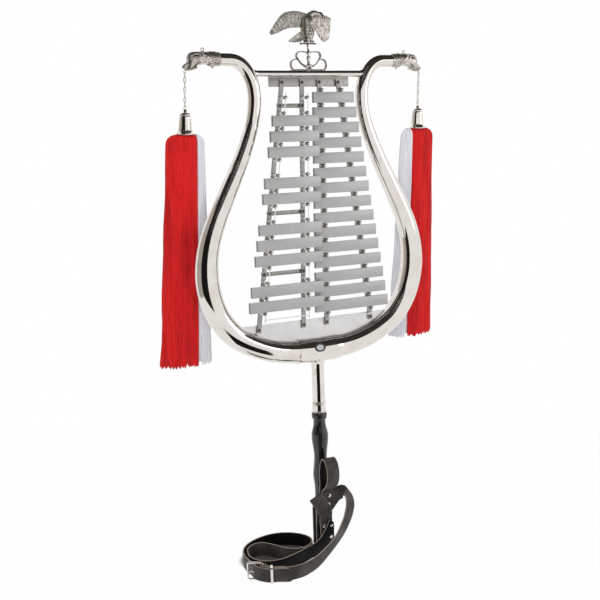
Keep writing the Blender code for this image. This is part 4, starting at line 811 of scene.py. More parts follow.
def make_cords():
    """Each cord runs down beside one rail, across under the lowest bar and up beside the next."""
    for node, first, second, y in (("cord_sharps", 0, 1, SHARP_Y), ("cord_naturals", 2, 3, NATURAL_Y)):
        ends = [bar_z(0), bar_z(14)] if first < 2 else [bar_z(-0.5), bar_z(14.5)]
        top, low = ends[0] + 0.0090, ends[1] - 0.0105
        points = []
        for rail in (first, second):
            inward = 0.0060 if rail == first else -0.0060
            run = [(rail_x(rail, z), y, z) for z in (top, top - 0.15, low + 0.15, low + 0.0060)]
            run += [(rail_x(rail, low) + 0.3 * inward, y, low + 0.0018), (rail_x(rail, low) + inward, y, low)]
            points.append(run if rail == first else run[::-1])
        path = course(points[0] + points[1], 4)
        bm = bmesh.new()
        tube(bm, path, [0.0010] * len(path), 10)
        finish(node + "_braid", bm, "lyre", [CORD], [node], "white_cord", 180)


# Leather

BAND = [(-0.5, 0.27), (-0.485, 0.42), (-0.46, 0.5), (0.46, 0.5), (0.485, 0.42), (0.5, 0.27)]
BAND += [(-x, -y) for x, y in BAND]
BAND_SLOTS = [1, 0, 0, 0, 1, 1, 1, 2, 2, 2, 1, 1]
STRAP_WIDTH, STRAP_THICK = 0.0260, 0.0030
LIE = STRAP_WIDTH / 2
BUCKLE_Z, KEEPER_Z = LIE + GAP + 0.0041, LIE + GAP + 0.0020
FRONT = -0.0168


def band_places(points, across, steps, width, thick):
    """Where a strap's cross-section stands along its course, with the width direction carried along."""
    path = course(points, steps)
    spans = len(points) - 1
    sides = []
    for i in range(len(path)):
        share = min(i / steps, spans)
        low = min(int(share), spans - 1)
        sides.append(Vector(across[low]).lerp(Vector(across[low + 1]), share - low).normalized())
    return stops(path, sides, [width] * len(path), [thick] * len(path))


def add_rivet(bm, place, out):
    """A domed rivet head on the face of a strap."""
    at = Vector(place) + Vector(out) * 0.0013
    head = [(0, 0.0034), (0.0004, 0.0034)] + dome(0.0031, 0.0011, 5, 0.0005)
    turned(bm, head, 20, facing(out, at), 3)


def cradle_course():
    """The band's course as (y, z) pairs, and how far forward its inner end lies."""
    r, bend, lift = POLE_RADIUS + 0.0006 + 0.0015, 0.0040, 0.0015
    top, pinch, deep = 0.1935, 0.1220, 0.0340
    rise = top - pinch
    front = -r - deep
    inner = -r - 0.0060 - 3 * GAP
    bulge = [1.17, 1.17, 1.13]
    rows = [(r, 0.0850), (r, 0.0300), (r, bend + lift), (r - 0.3 * bend, lift + 0.3 * bend)]
    rows += [(r - bend, lift), (0, lift)]
    rows += [(-r + bend, lift), (-r + 0.3 * bend, lift + 0.3 * bend), (-r, bend + lift), (-r, 0.0300), (-r, 0.0800)]
    rows += [(-r, pinch - 0.004), (-r, pinch + 0.004)]
    rows += [(-POLE_RADIUS * k - 0.0021, pinch + rise * s) for k, s in zip(bulge, (0.20, 0.40, 0.62))]
    rows += [(-r - 0.22 * deep, top - 0.11 * rise), (-r - 0.50 * deep, top), (front + 0.15 * deep, top - 0.12 * rise)]
    rows += [(front, pinch + 0.60 * rise), (front + 0.18 * deep, pinch + 0.32 * rise)]
    rows += [(inner - 0.0022, pinch + 0.08 * rise), (inner, pinch - 0.002), (inner, pinch - 0.012)]
    return rows, inner


def make_cradle():
    """One band down behind the pole, under its foot, up its front and round in a loop, with a tongue."""
    rows, inner = cradle_course()
    bm = bmesh.new()
    places = band_places([(0, y, z) for y, z in rows], [X] * len(rows), 4, STRAP_WIDTH, STRAP_THICK)
    strip(bm, BAND, places, BAND_SLOTS)
    add_rivet(bm, (0.0050, inner, 0.1160), -Y)
    seat = FRONT - 0.0012 + GAP
    tongue = [(-0.0010, seat, 0.0420), (-0.0010, seat, 0.0540), (-0.0020, seat, 0.0700),
              (-0.0040, FRONT - 0.0056, 0.0815), (-0.0120, FRONT - 0.0100, 0.0970),
              (-0.0230, FRONT - 0.0150, 0.1110), (-0.0325, FRONT - 0.0185, 0.1245)]
    across = [(1, 0, 0), (1, 0, 0), (1, 0, 0.04), (0.99, 0, 0.12)]
    across += [(0.92, -0.1, 0.36), (0.80, -0.2, 0.55), (0.71, -0.28, 0.64)]
    strip(bm, BAND, band_places(tongue, across, 5, 0.0270, 0.0024), [2 - slot for slot in BAND_SLOTS])
    add_rivet(bm, (-0.0070, seat + 0.0003, 0.0560), -Y)
    finish("cradle_band", bm, "holster", [HIDE, HIDE_EDGE, HIDE_BACK_IN_SHADE, NICKEL], ["leather_cradle"], "brown_leather")


def make_long_strap():
    """From the cradle's front down to the floor, round in a coil and through the buckle to its point."""
    s = FRONT - 0.0024 - 0.0015
    run = [(-0.0660, -0.0345), (-0.0890, -0.0430), (-0.1120, -0.0490), (-0.1310, -0.0480), (-0.1470, -0.0400),
           (-0.1570, -0.0270), (-0.1610, -0.0080), (-0.1570, 0.0110), (-0.1490, 0.0280), (-0.1370, 0.0385),
           (-0.1230, 0.0420), (-0.1105, 0.0370), (-0.0985, 0.0180), (-0.0870, -0.0040), (-0.0730, -0.0190),
           (-0.0590, -0.0235), (-0.0440, -0.0195), (-0.0310, -0.0100), (-0.0235, 0.0040), (-0.0225, 0.0190),
           (-0.0290, 0.0370), (-0.0430, 0.0530), (-0.0620, 0.0640), (-0.0850, 0.0680), (-0.1150, 0.0620),
           (-0.1420, 0.0470), (-0.1600, 0.0250), (-0.1680, 0.0010), (-0.1695, -0.0220)]
    points = [(0.0150, s - 2 * GAP, 0.0598), (0.0080, s - 2 * GAP, 0.0475), (-0.0020, s, 0.0320),
              (-0.0130, s - 0.0010, 0.0225), (-0.0270, s - 0.0030, 0.0165), (-0.0450, s - 0.0065, 0.0140)]
    points += [(x, y, LIE) for x, y in run]
    points += [(-0.1725, -0.0400, BUCKLE_Z - 0.0010), (-0.1745, -0.0540, BUCKLE_Z), (-0.1730, -0.0650, BUCKLE_Z),
               (-0.1670, -0.0740, BUCKLE_Z - 0.0006), (-0.1565, -0.0813, KEEPER_Z), (-0.1410, -0.0880, KEEPER_Z),
               (-0.1250, -0.0935, LIE + 0.0008), (-0.1090, -0.0985, LIE)]
    across = [(-0.86, 0, 0.51), (-0.85, 0, 0.53), (-0.80, 0, 0.60), (-0.58, 0, 0.82), (-0.28, 0, 0.96), (-0.1, 0, 1)]
    across += [(0, 0, 1)] * (len(points) - len(across))
    places = band_places(points, across, 5, STRAP_WIDTH, STRAP_THICK)
    bm = bmesh.new()
    strip(bm, BAND, places, BAND_SLOTS)
    tip = Vector(points[-1])
    for turn in (-1, 1):
        slant = Vector((0.0085, 0, turn * 0.0100)).normalized()
        geom = bm.verts[:] + bm.edges[:] + bm.faces[:]
        near = [g for g in geom if all((v.co - tip).length < 0.030 for v in ([g] if hasattr(g, "co") else g.verts))]
        cut = bmesh.ops.bisect_plane(
            bm, geom=near, dist=1e-6, plane_co=tip + Vector((0.0020, 0, 0)), plane_no=slant, clear_outer=True
        )["geom_cut"]
        rim = [e for e in cut if isinstance(e, bmesh.types.BMEdge)]
        for made in bmesh.ops.edgeloop_fill(bm, edges=rim)["faces"]:
            made.material_index = 1
    geom = bm.verts[:] + bm.edges[:] + bm.faces[:]
    cut = bmesh.ops.bisect_plane(
        bm, geom=geom, dist=1e-6, plane_co=(0.0130, 0, 0), plane_no=X, clear_outer=True
    )["geom_cut"]
    for made in bmesh.ops.edgeloop_fill(bm, edges=[e for e in cut if isinstance(e, bmesh.types.BMEdge)])["faces"]:
        made.material_index = 1
    for x, z in ((0.0075, 0.0560), (0.0065, 0.0330)):
        add_rivet(bm, (x, s, z), -Y)
    path = course(points[-5:], 4)
    out = Vector((-0.345, -0.939, 0))
    hole = min(path, key=lambda p: abs(p.x + 0.1475)) + out * 0.00135
    # Dark discs where the strap's holes are punched: the painted shade of the holes, in the dark plate.
    for shift in (0.0, 0.020):
        at = hole + Vector((0.945, -0.33, 0)) * shift
        turned(bm, [(0, 0), (0.0003, 0), (0.0003, 0.0016), (0.0001, 0.0019)], 18, facing(out, at), 4)
    finish("long_strap", bm, "holster", [HIDE, HIDE_EDGE, HIDE_BACK_IN_SHADE, NICKEL, TARNISH_AND_SHADE], ["strap_long"], "brown_leather")


def make_short_strap():
    """From the loop's pinch over in an arch, down to the floor and round the buckle's bar."""
    s, bar = FRONT - GAP - 0.0015, Vector((-0.1610, -0.0625, BUCKLE_Z))
    points = [(0.0010, s, 0.0915), (0.0100, s, 0.1010), (0.0185, s - 0.0009, 0.1110), (0.0270, s - 0.0055, 0.1190),
              (0.0350, s - 0.0115, 0.1205), (0.0405, s - 0.0170, 0.1110), (0.0400, s - 0.0220, 0.0970),
              (0.0330, s - 0.0265, 0.0800), (0.0220, s - 0.0310, 0.0640), (0.0000, s - 0.0400, 0.0440),
              (-0.0290, -0.0670, 0.0260), (-0.0560, -0.0780, 0.0170), (-0.0850, -0.0875, LIE + 0.0006),
              (-0.1060, -0.0905, LIE + 0.0006), (-0.1235, -0.0892, LIE + 0.0010), (-0.1400, -0.0840, KEEPER_Z),
              (-0.1530, -0.0770, KEEPER_Z), (-0.1615, -0.0695, BUCKLE_Z - 0.0004),
              (bar.x - 0.0042, bar.y - 0.0021, BUCKLE_Z), (bar.x - 0.0036, bar.y + 0.0022, BUCKLE_Z),
              (bar.x, bar.y + 0.0042, BUCKLE_Z), (bar.x + 0.0038, bar.y + 0.0019, BUCKLE_Z),
              (-0.1550, -0.0682, BUCKLE_Z - 0.0010), (-0.1490, -0.0751, KEEPER_Z - 0.0002),
              (-0.1382, -0.0806, KEEPER_Z), (-0.1260, -0.0847, LIE + 0.0010)]
    across = [(-0.72, 0, 0.69), (-0.70, 0, 0.71), (-0.66, 0.05, 0.73), (-0.46, 0.37, 0.78), (0.30, 0.83, 0.45),
              (0.80, 0.58, 0.05), (0.90, 0.42, 0), (0.91, 0.40, 0.05), (0.88, 0.44, -0.10), (0.72, 0.50, -0.42),
              (0.50, 0.42, -0.72), (0.25, 0.22, -0.93), (0.05, 0.05, -1)]
    across += [(0, 0, -1)] * (len(points) - len(across))
    bm = bmesh.new()
    strip(bm, BAND, band_places(points, across, 5, STRAP_WIDTH, STRAP_THICK), BAND_SLOTS)
    add_rivet(bm, (0.0050, s, 0.0985), -Y)
    finish("short_strap", bm, "holster", [HIDE, HIDE_EDGE, HIDE_BACK_IN_SHADE, NICKEL], ["strap_short"], "brown_leather")


def make_buckle():
    """The buckle's wire frame, the prong on its near bar and the keeper by it."""
    near, far = Vector((-0.1610, -0.0625, BUCKLE_Z)), Vector((-0.1835, -0.0460, BUCKLE_Z))
    along = (far - near).normalized()
    out = Vector((along.y, -along.x, 0))
    out = out if out.y < 0 else -out
    wire, half_high, middle = 0.0019, LIE + 0.0025, (near + far) / 2
    corners = []
    for a, b in ((1, 1), (-1, 1), (-1, -1), (1, -1)):
        reach = [(0.01395, half_high - 0.0042), (0.01330, half_high - 0.0013)]
        reach += [(0.01205, half_high - 0.0004), (0.0096, half_high)]
        if a * b < 0:
            reach.reverse()
        corners += [middle + along * a * x + Z * b * z for x, z in reach]
    bm = bmesh.new()
    tube(bm, corners, [wire] * len(corners), 16, side=out, closed=True)
    finish("buckle_wire", bm, "holster", [CHROME_SMALL], ["buckle_frame"], "chrome")
    clear = wire + GAP + 0.0010
    bm = bmesh.new()
    path = [near + out * clear, near.lerp(far, 0.5) + out * clear, far + out * clear + along * 0.0012,
            far + out * (clear - 0.0001) + along * 0.0024]
    tube(bm, path, [0.0010, 0.00095, 0.00085, 0.0005], 14, side=Z)
    ring(bm, near, Z, clear, 0.00098, 24, 12)
    finish("buckle_tongue", bm, "prong", [CHROME_SMALL], ["buckle_prong"], "chrome")
    centre, along = Vector((-0.1508, -0.0792, KEEPER_Z)), Vector((0.915, -0.403, 0)).normalized()
    out = Vector((along.y, -along.x, 0))
    bm = bmesh.new()
    deep, tall, wall = 0.0072, LIE + 0.0008, 0.0012
    loop = [(deep, tall - 0.0012), (deep - 0.0012, tall), (-deep + 0.0012, tall), (-deep, tall - 0.0012)]
    loop += [(-deep, -tall + 0.0012), (-deep + 0.0012, -tall), (deep - 0.0012, -tall), (deep, -tall + 0.0012)]
    path = [centre + out * a * (1 + wall / 2 / deep) + Z * b * (1 + wall / 2 / tall) for a, b in loop]
    section = [(-0.5, 0.3), (-0.45, 0.5), (0.45, 0.5), (0.5, 0.3)]
    section += [(-x, -y) for x, y in section]
    places = stops(path, [along] * 8, [0.0045] * 8, [wall] * 8, closed=True)
    verts = [bm.verts.new(places[0] @ Vector((x, y, 0))) for x, y in section]
    first, last = carry(bm, loop_edges(bm, verts), places)
    bmesh.ops.bridge_loops(bm, edges=first + last)
    finish("keeper_loop", bm, "holster", [CHROME_SMALL], ["strap_keeper"], "chrome", 25)


# Heads, chains, caps and tassels

EYE_RADIUS, EYE_WIRE, LINK_WIRE = 0.0026, 0.0006, 0.0009
HOOK_DROP = EYE_RADIUS - EYE_WIRE - 0.85 * LINK_WIRE - GAP
CHAIN_LENGTH, LINK_COUNT, CAP_HEIGHT = 0.0600, 7, 0.0430
TASSEL_LENGTH, TASSEL_SPLIT, LOCK_COUNT = 0.4300, 0.0180, 88
TASSEL_TOP_HALF_WIDTH, TASSEL_WIDENING = 0.0350, 0.0145
TASSEL_TOP_HALF_DEPTH, TASSEL_DEEPENING = 0.0170, 0.0030


def head_eye(side):
    """The middle of the ring under a head's beak, from which the chain hangs."""
    return Vector((side * (NECK_END_X + 0.0660), 0, HEAD_Z - 0.0225))


def hang(bm, anchor):
    """Tilts what hangs straight below the anchor back behind the lyre, where it rests."""
    sway = math.radians(0.3 if anchor.x < 0 else 1.1)
    lean = Matrix.Rotation(math.radians(7.0), 3, "X") @ Matrix.Rotation(-sway, 3, "Y")
    bmesh.ops.rotate(bm, cent=anchor, matrix=lean, verts=bm.verts)


def cast_form(bm, stations, side, sides=32):
    """A body along X from (reach, top, bottom, half width) stations past the arm's end."""
    spine = course([(reach, top, bottom) for reach, top, bottom, half in stations], 4)
    halves = course([(reach, half, 0) for reach, top, bottom, half in stations], 4)
    places = []
    for (reach, top, bottom), (_, half, _) in zip(spine, halves):
        turn = Matrix((Y * half, Z * (top - bottom) / 2, X * side)).transposed().to_4x4()
        places.append(Matrix.Translation((side * (NECK_END_X + reach), 0, HEAD_Z + (top + bottom) / 2)) @ turn)
    verts = bmesh.ops.create_circle(bm, segments=sides, radius=1, matrix=places[0])["verts"]
    for rim in carry(bm, loop_edges(bm, verts), places):
        bmesh.ops.edgeloop_fill(bm, edges=rim)


def skull_half(reach, z):
    """How far out the skull's side is at a reach and a height over the arm's middle line."""
    half = 0.0118 if reach < 0.042 else 0.0118 - (reach - 0.042) * 0.26
    low, high = -0.0106 - max(reach - 0.030, 0) * 0.25, 0.0136 - max(reach - 0.045, 0) * 0.35
    share = (z - (low + high) / 2) / ((high - low) / 2)
    return half * math.sqrt(max(1 - share * share, 0.02))


def make_head(name, side):
    """A bird's head: feathered collar, brow, eye, hooked beak and jaw, with a crest ring and an eye."""
    r, half = END_RADIUS, 0.0120

    def spot(reach, z, face, out=0.0):
        return Vector((side * (NECK_END_X + reach), face * (skull_half(reach, z) + out), HEAD_Z + z))

    bm = bmesh.new()
    cast_form(bm, [(GAP, r, -r, r), (0.0132, r + 0.0013, -r + 0.0017, 0.96 * half),
                   (0.0270, r + 0.0017, -r + 0.0024, half), (0.0402, r + 0.0018, -r, half),
                   (0.0498, r + 0.0011, -r - 0.0042, 0.88 * half),
                   (0.0564, r - 0.0012, -r - 0.0074, 0.70 * half),
                   (0.0600, r - 0.0055, -r - 0.0070, 0.45 * half)], side)
    cast_form(bm, [(0.0500, 0.0010, -0.0150, 0.58 * half), (0.0580, -0.0030, -0.0150, 0.50 * half),
                   (0.0640, -0.0072, -0.0152, 0.40 * half), (0.0680, -0.0100, -0.0170, 0.26 * half),
                   (0.0704, -0.0130, -0.0178, 0.12 * half)], side, 20)
    cast_form(bm, [(0.0440, -0.0130, -0.0170, 0.50 * half), (0.0540, -0.0160, -0.0200, 0.42 * half),
                   (0.0620, -0.0172, -0.0206, 0.30 * half), (0.0660, -0.0180, -0.0204, 0.16 * half)], side, 18)
    ring(bm, Vector((side * (NECK_END_X + 0.0012), 0, HEAD_Z)), X, r + 0.0001, 0.0007, 40, 8, 1)
    for row, reach in enumerate((0.0075, 0.0130, 0.0185)):
        for k in range(15):
            t = math.tau * (k + 0.5 * (row % 2)) / 15
            away = Vector((0, math.cos(t), math.sin(t)))
            shell = r + 0.0002 + 0.0010 * (reach / 0.02)
            mid = Vector((side * NECK_END_X, 0, HEAD_Z + 0.0010 * reach / 0.02)) + away * shell * 0.985
            tip, root = mid + X * side * (reach - 0.0055), mid + X * side * (reach + 0.0030)
            leaf(bm, root, tip, 0.0044, 0.0013, away, 0.0002, steps=3)
    for face in (-1, 1):
        # The dark lines along the collar, under the brow and at the mouth, and the nostrils, are partly tarnish and
        # partly painted shade.
        collar = [(0.0390, 0.0098), (0.0345, 0.0060), (0.0300, 0.0022)]
        collar += [(0.0255, -0.0015), (0.0215, -0.0050), (0.0180, -0.0082)]
        line = course([spot(a, z, face) for a, z in collar], 4)
        tube(bm, line, [0.0010] * len(line), 8, slot=2)
        for a, z in collar:
            root, tip = spot(a + 0.0015, z + 0.0012, face, 0.0004), spot(a - 0.0062, z - 0.0022, face, 0.0006)
            leaf(bm, root, tip, 0.0050, 0.0018, (0, face, 0), 0.0004)
        for a, z in ((0.0440, 0.0070), (0.0400, 0.0025), (0.0355, -0.0020), (0.0310, -0.0060)):
            root, tip = spot(a + 0.0015, z + 0.0005, face, 0.0001), spot(a - 0.0055, z - 0.0010, face, 0.0004)
            leaf(bm, root, tip, 0.0042, 0.0014, (0, face, 0), 0.0003)
        brow = ((0.0390, 0.0070), (0.0450, 0.0078), (0.0510, 0.0062), (0.0565, 0.0020))
        path = course([spot(a, z, face, 0.0004) for a, z in brow], 5)
        tube(bm, path, [0.0006 + 0.0011 * math.sin(math.pi * i / 15) for i in range(16)], 8)
        under = ((0.0410, 0.0046), (0.0460, 0.0052), (0.0515, 0.0036), (0.0560, 0.0000))
        path = course([spot(a, z, face, 0.0001) for a, z in under], 5)
        tube(bm, path, [0.0004 + 0.0008 * math.sin(math.pi * i / 15) for i in range(16)], 8, slot=2)
        turned(bm, dome(0.0016, 0.0012, 4), 14, facing(Y * face, spot(0.0492, 0.0022, face, -0.0001)), 1)
        gape = ((0.0395, -0.0060, 0.0), (0.0450, -0.0090, 0.0), (0.0510, -0.0125, -0.0006), (0.0570, -0.0155, -0.0010))
        mouth = [spot(a, z, face, out) for a, z, out in gape]
        mouth.append(Vector((side * (NECK_END_X + 0.0665), face * 0.0018, HEAD_Z - 0.0170)))
        path = course(mouth, 5)
        tube(bm, path, [0.0005 + 0.0008 * math.sin(math.pi * min(1.25 * i / 20, 1)) for i in range(21)], 8, slot=2)
        nostril = Vector((side * (NECK_END_X + 0.0605), face * 0.0046, HEAD_Z - 0.0082))
        turned(bm, dome(0.0008, 0.0005, 3), 10, facing(Y * face, nostril), 2)
    low = Vector((side * (NECK_END_X + 0.0150), 0, HEAD_Z - r + 0.0010))
    leaf(bm, low, low + Vector((-side * 0.0030, 0, -0.0052)), 0.0058, 0.0030, Y)
    top = Vector((side * (NECK_END_X + 0.0312), 0, HEAD_Z + r + 0.0020 + 0.0026))
    ring(bm, top, Y, 0.0026, 0.0011, 20, 10, 1)
    leaf(bm, top - Z * 0.0034 + X * side * 0.004, top - Z * 0.0028 - X * side * 0.005, 0.0040, 0.0022, Z)
    ring(bm, head_eye(side), Y, EYE_RADIUS, EYE_WIRE, 24, 10, 1)
    finish(name + "_casting", bm, "lyre", [HEAD_CAST, CHROME_SMALL, TARNISH_AND_SHADE], [name], "chrome", 50)


def make_chain(name, anchor):
    """Oval links turned a quarter from one to the next."""
    pitch = CHAIN_LENGTH / LINK_COUNT
    bend = 0.0027 - LINK_WIRE
    bm = bmesh.new()
    for i in range(LINK_COUNT):
        centre = anchor - Z * (i + 0.5) * pitch
        axis, across = (X, Y) if i % 2 == 0 else (Y, X)
        half = (pitch + 0.3 * LINK_WIRE - 2 * bend) / 2
        turns = [math.tau * (k + 0.5) / 20 for k in range(20)]
        path = []
        for t in turns:
            climb = bend * math.sin(t) + math.copysign(half, math.sin(t))
            path.append(centre + across * bend * math.cos(t) + Z * climb)
        tube(bm, path, [0.92 * LINK_WIRE] * 20, 10, side=axis, closed=True)
    hang(bm, anchor)
    finish(name + "_links", bm, name.replace("chain_", "") + "_chain", [CHROME_SMALL], [name], "chrome")


def make_cap(name, anchor, body):
    """A turned bell cap, open below, with an eye at its top; gives its middle and its rim's height."""
    top = anchor - Z * CHAIN_LENGTH
    eye = top - Z * HOOK_DROP
    seat, h = eye.z - EYE_RADIUS, CAP_HEIGHT
    outer = [(0.0, 0.0), (0.0, 0.0018), (-0.020, 0.0030), (-0.055, 0.0036), (-0.085, 0.0028),
             (-0.105, 0.0031), (-0.120, 0.0062), (-0.145, 0.0078), (-0.170, 0.0096), (-0.200, 0.0099),
             (-0.222, 0.0099), (-0.240, 0.0095), (-0.262, 0.0099),
             (-0.40, 0.0106), (-0.60, 0.0114), (-0.80, 0.0121), (-0.860, 0.0126), (-0.890, 0.0134), (-0.920, 0.0147),
             (-0.948, 0.0170), (-0.963, 0.0184), (-0.985, 0.0185), (-1.0, 0.0181), (-1.0, 0.0173)]
    inner = [(-0.970, 0.0168), (-0.93, 0.0142), (-0.86, 0.0113), (-0.50, 0.0100), (-0.26, 0.0086), (-0.24, 0.0)]
    bm = bmesh.new()
    turned(bm, [(seat + h * a, b) for a, b in outer + inner], 48, Matrix.Translation((top.x, top.y, 0)))
    ring(bm, eye, Y, EYE_RADIUS, EYE_WIRE, 24, 10)
    hang(bm, anchor)
    finish(name + "_turning", bm, body, [CHROME_SMALL], [name], "chrome", 50)
    return top, seat - h


def tassel_size(share):
    """The tassel's half width and half depth at a share of its length."""
    fall = 1 - min(share / 0.036, 1.0)
    fill = 0.50 + 0.50 * math.sqrt(1 - fall * fall)
    wide = TASSEL_TOP_HALF_WIDTH + TASSEL_WIDENING * share
    deep = TASSEL_TOP_HALF_DEPTH + TASSEL_DEEPENING * share
    return fill * wide, fill * deep


LOCK_STOPS = [0.0, 0.004, 0.009, 0.016, 0.026, 0.042, 0.07]
LOCK_STOPS += [0.07 + 0.91 * i / 12 for i in range(1, 13)] + [0.992, 1.0]


def make_tassel(colour, material, name, side, top, rim, anchor, sign, body):
    """One colour of a tassel, on the sign's side of its split: hair with combed locks over it."""
    dice = random.Random(name)
    crown = rim - 0.0020
    split = top.x - side * TASSEL_SPLIT
    bm = bmesh.new()
    shares = [0.0, 0.006, 0.015, 0.03, 0.05, 0.10, 0.2, 0.3, 0.4, 0.5, 0.6, 0.7, 0.8, 0.9, 0.975]
    path = [Vector((top.x, top.y, crown + 0.0100)), Vector((top.x, top.y, crown + 0.0040))]
    sizes = [(0.0085, 0.0085), (0.0100, 0.0100)]
    for s in shares:
        wide, deep = tassel_size(s)
        path.append(Vector((top.x, top.y, crown - TASSEL_LENGTH * s)))
        sizes.append((0.935 * wide, 0.90 * deep))
    places = stops(path, [X] * len(path), [a for a, b in sizes], [b for a, b in sizes])
    verts = bmesh.ops.create_circle(bm, segments=40, radius=1, matrix=places[0])["verts"]
    for end in carry(bm, loop_edges(bm, verts), places):
        bmesh.ops.edgeloop_fill(bm, edges=end)
    geom = bm.verts[:] + bm.edges[:] + bm.faces[:]
    cut = bmesh.ops.bisect_plane(
        bm, geom=geom, dist=1e-6, plane_co=(split + sign * 0.0002, 0, 0), plane_no=(-sign, 0, 0), clear_outer=True
    )["geom_cut"]
    bmesh.ops.edgeloop_fill(bm, edges=[e for e in cut if isinstance(e, bmesh.types.BMEdge)])
    for layer in (0, 1):
        for k in range(LOCK_COUNT):
            turn = math.tau * (k + 0.5 * layer + dice.uniform(-0.25, 0.25)) / LOCK_COUNT
            wide, deep = tassel_size(0.5)
            radius = dice.uniform(0.0015, 0.0021)
            if sign * (top.x + (wide - radius) * math.cos(turn) - split) < radius + 0.0012:
                continue
            length = TASSEL_LENGTH * dice.uniform(0.984, 0.998 if layer else 0.993)
            sway, phase = dice.uniform(0.0002, 0.0008), dice.uniform(0, math.tau)
            locks, radii = [], []
            for along in LOCK_STOPS:
                share = along * length / TASSEL_LENGTH
                wide, deep = tassel_size(share)
                ripple = 1 + 0.020 * math.sin(6.1 * share * math.pi + 2.0 * math.sin(turn)) * share
                inset = radius * (1.05 if layer == 0 else 0.70)
                x = top.x + (wide - inset) * ripple * math.cos(turn)
                x += sway * (1 + 2 * share) * math.sin(phase + 11 * share)
                y = top.y + (deep - inset) * math.sin(turn) + sway * math.sin(2 * phase + 9 * share)
                x = max(sign * x, sign * split + radius + 0.0004) * sign
                locks.append(Vector((x, y, crown - TASSEL_LENGTH * share)))
                swell = 0.70 + 0.30 * min(share / 0.03, 1.0)
                end = min(1.0, (1 - along) / 0.012)
                taper = 0.30 + 0.70 * math.sqrt(end)
                radii.append(radius * swell * taper * (1 + 0.10 * math.sin(phase + 21 * share)))
            out = Vector((math.cos(turn), math.sin(turn), 0))
            tube(bm, locks, [1.25 * q for q in radii], 7, 0.75, side=Z.cross(out))
    hang(bm, anchor)
    node = f"tassel_{colour}_{name}"
    hair = finish(node + "_hair", bm, body, [material], [node], f"{colour}_hair", 180)
    # Kept out of the tubes' mirror image
    hair.visible_glossy = False


def make_hangings():
    """What each arm's end carries: a head, its chain, the cap and the two skirts of hair."""
    for name, side in (("left", -1), ("right", 1)):
        make_head(f"eagle_head_{name}", side)
        anchor = head_eye(side) - Z * HOOK_DROP
        make_chain(f"chain_{name}", anchor)
        top, rim = make_cap(f"tassel_cap_{name}", anchor, f"{name}_tassel")
        make_tassel("red", RED_HAIR, name, side, top, rim, anchor, side, f"{name}_tassel")
        make_tassel("white", WHITE_HAIR, name, side, top, rim, anchor, -side, f"{name}_tassel")


# Finial

FOOT_Z = CROSSBAR_Z + CROSSBAR_RADIUS + GAP
PERCH_RISE, BIRD_RISE, WING_SPAN = 0.0500, 0.0560, 0.0700
SCROLL = [(-0.5, 0.25), (-0.46, 0.5), (0.46, 0.5), (0.5, 0.25)]
SCROLL += [(-x, -y) for x, y in SCROLL]


def make_finial_base():
    """Bent strips in two pairs of scrolls, a turned stem and a perch, on a flat foot."""
    w, h, t = 0.0350, PERCH_RISE, 0.0020
    lower = [(0.96, 0.02), (1.04, 0.08), (1.05, 0.22), (0.94, 0.34), (0.66, 0.36), (0.42, 0.20), (0.10, 0.04)]
    upper = [(0.02, 0.08), (0.42, 0.20), (0.62, 0.36), (0.72, 0.48), (0.66, 0.60), (0.48, 0.64), (0.04, 0.62)]
    bm = bmesh.new()
    block(bm, (-w, -0.0030, FOOT_Z), (w, 0.0030, FOOT_Z + 0.7 * t), 0.0004, 1)
    for side in (-1, 1):
        for shape, wide in ((lower, 0.0060), (upper, 0.0058)):
            path = course([(side * w * a, 0, FOOT_Z + t / 2 + h * b) for a, b in shape], 6)
            places = stops(path, [Y] * len(path), [wide] * len(path), [0.0017] * len(path))
            strip(bm, SCROLL, places, [0] * 8)
    stem = [(0.02, 0.0), (0.02, 0.0062), (0.05, 0.0060), (0.10, 0.0050), (0.14, 0.0036),
            (0.20, 0.0030), (0.38, 0.0028), (0.40, 0.0040), (0.44, 0.0045), (0.48, 0.0038), (0.50, 0.0025),
            (0.56, 0.0026), (0.58, 0.0036), (0.62, 0.0041), (0.66, 0.0036),
            (0.68, 0.0024), (0.78, 0.0021), (0.84, 0.0022), (0.88, 0.0031), (0.92, 0.0034),
            (0.95, 0.0028), (0.955, 0.0)]
    turned(bm, [(FOOT_Z + h * a, b) for a, b in stem], 32, slot=1)
    for k in range(9):
        angle = math.radians(-64 + 16 * k)
        root = Vector((0, -0.0030, FOOT_Z + t))
        tip = root + Vector((math.sin(angle), 0, math.cos(angle))) * (0.0095 if k % 2 == 0 else 0.0085)
        leaf(bm, root, tip, 0.0030, 0.0022, -Y, 0.0004, slot=1)
    perch = FOOT_Z + h - 0.0019
    rises = ((-0.0172, -0.0004), (-0.0160, -0.0012), (-0.0120, -0.0008), (-0.0060, 0), (0, 0),
             (0.0060, 0), (0.0120, -0.0008), (0.0160, -0.0012), (0.0172, -0.0004))
    path = [Vector((x, 0, perch + 0.4 * z)) for x, z in rises]
    tube(bm, path, [0.0009, 0.0017, 0.0013, 0.0016, 0.0017, 0.0016, 0.0013, 0.0017, 0.0009], 20)
    finish("finial_scrolls", bm, "lyre", [SCROLL_CAST, NICKEL, TARNISH_AND_SHADE], ["finial_base"], "chrome", 50)


def sample(path, share):
    """The point at a share of a path, from 0 at its start to 1 at its end."""
    place = min(max(share, 0.0), 1.0) * (len(path) - 1)
    low = min(int(place), len(path) - 2)
    return path[low].lerp(path[low + 1], place - low)


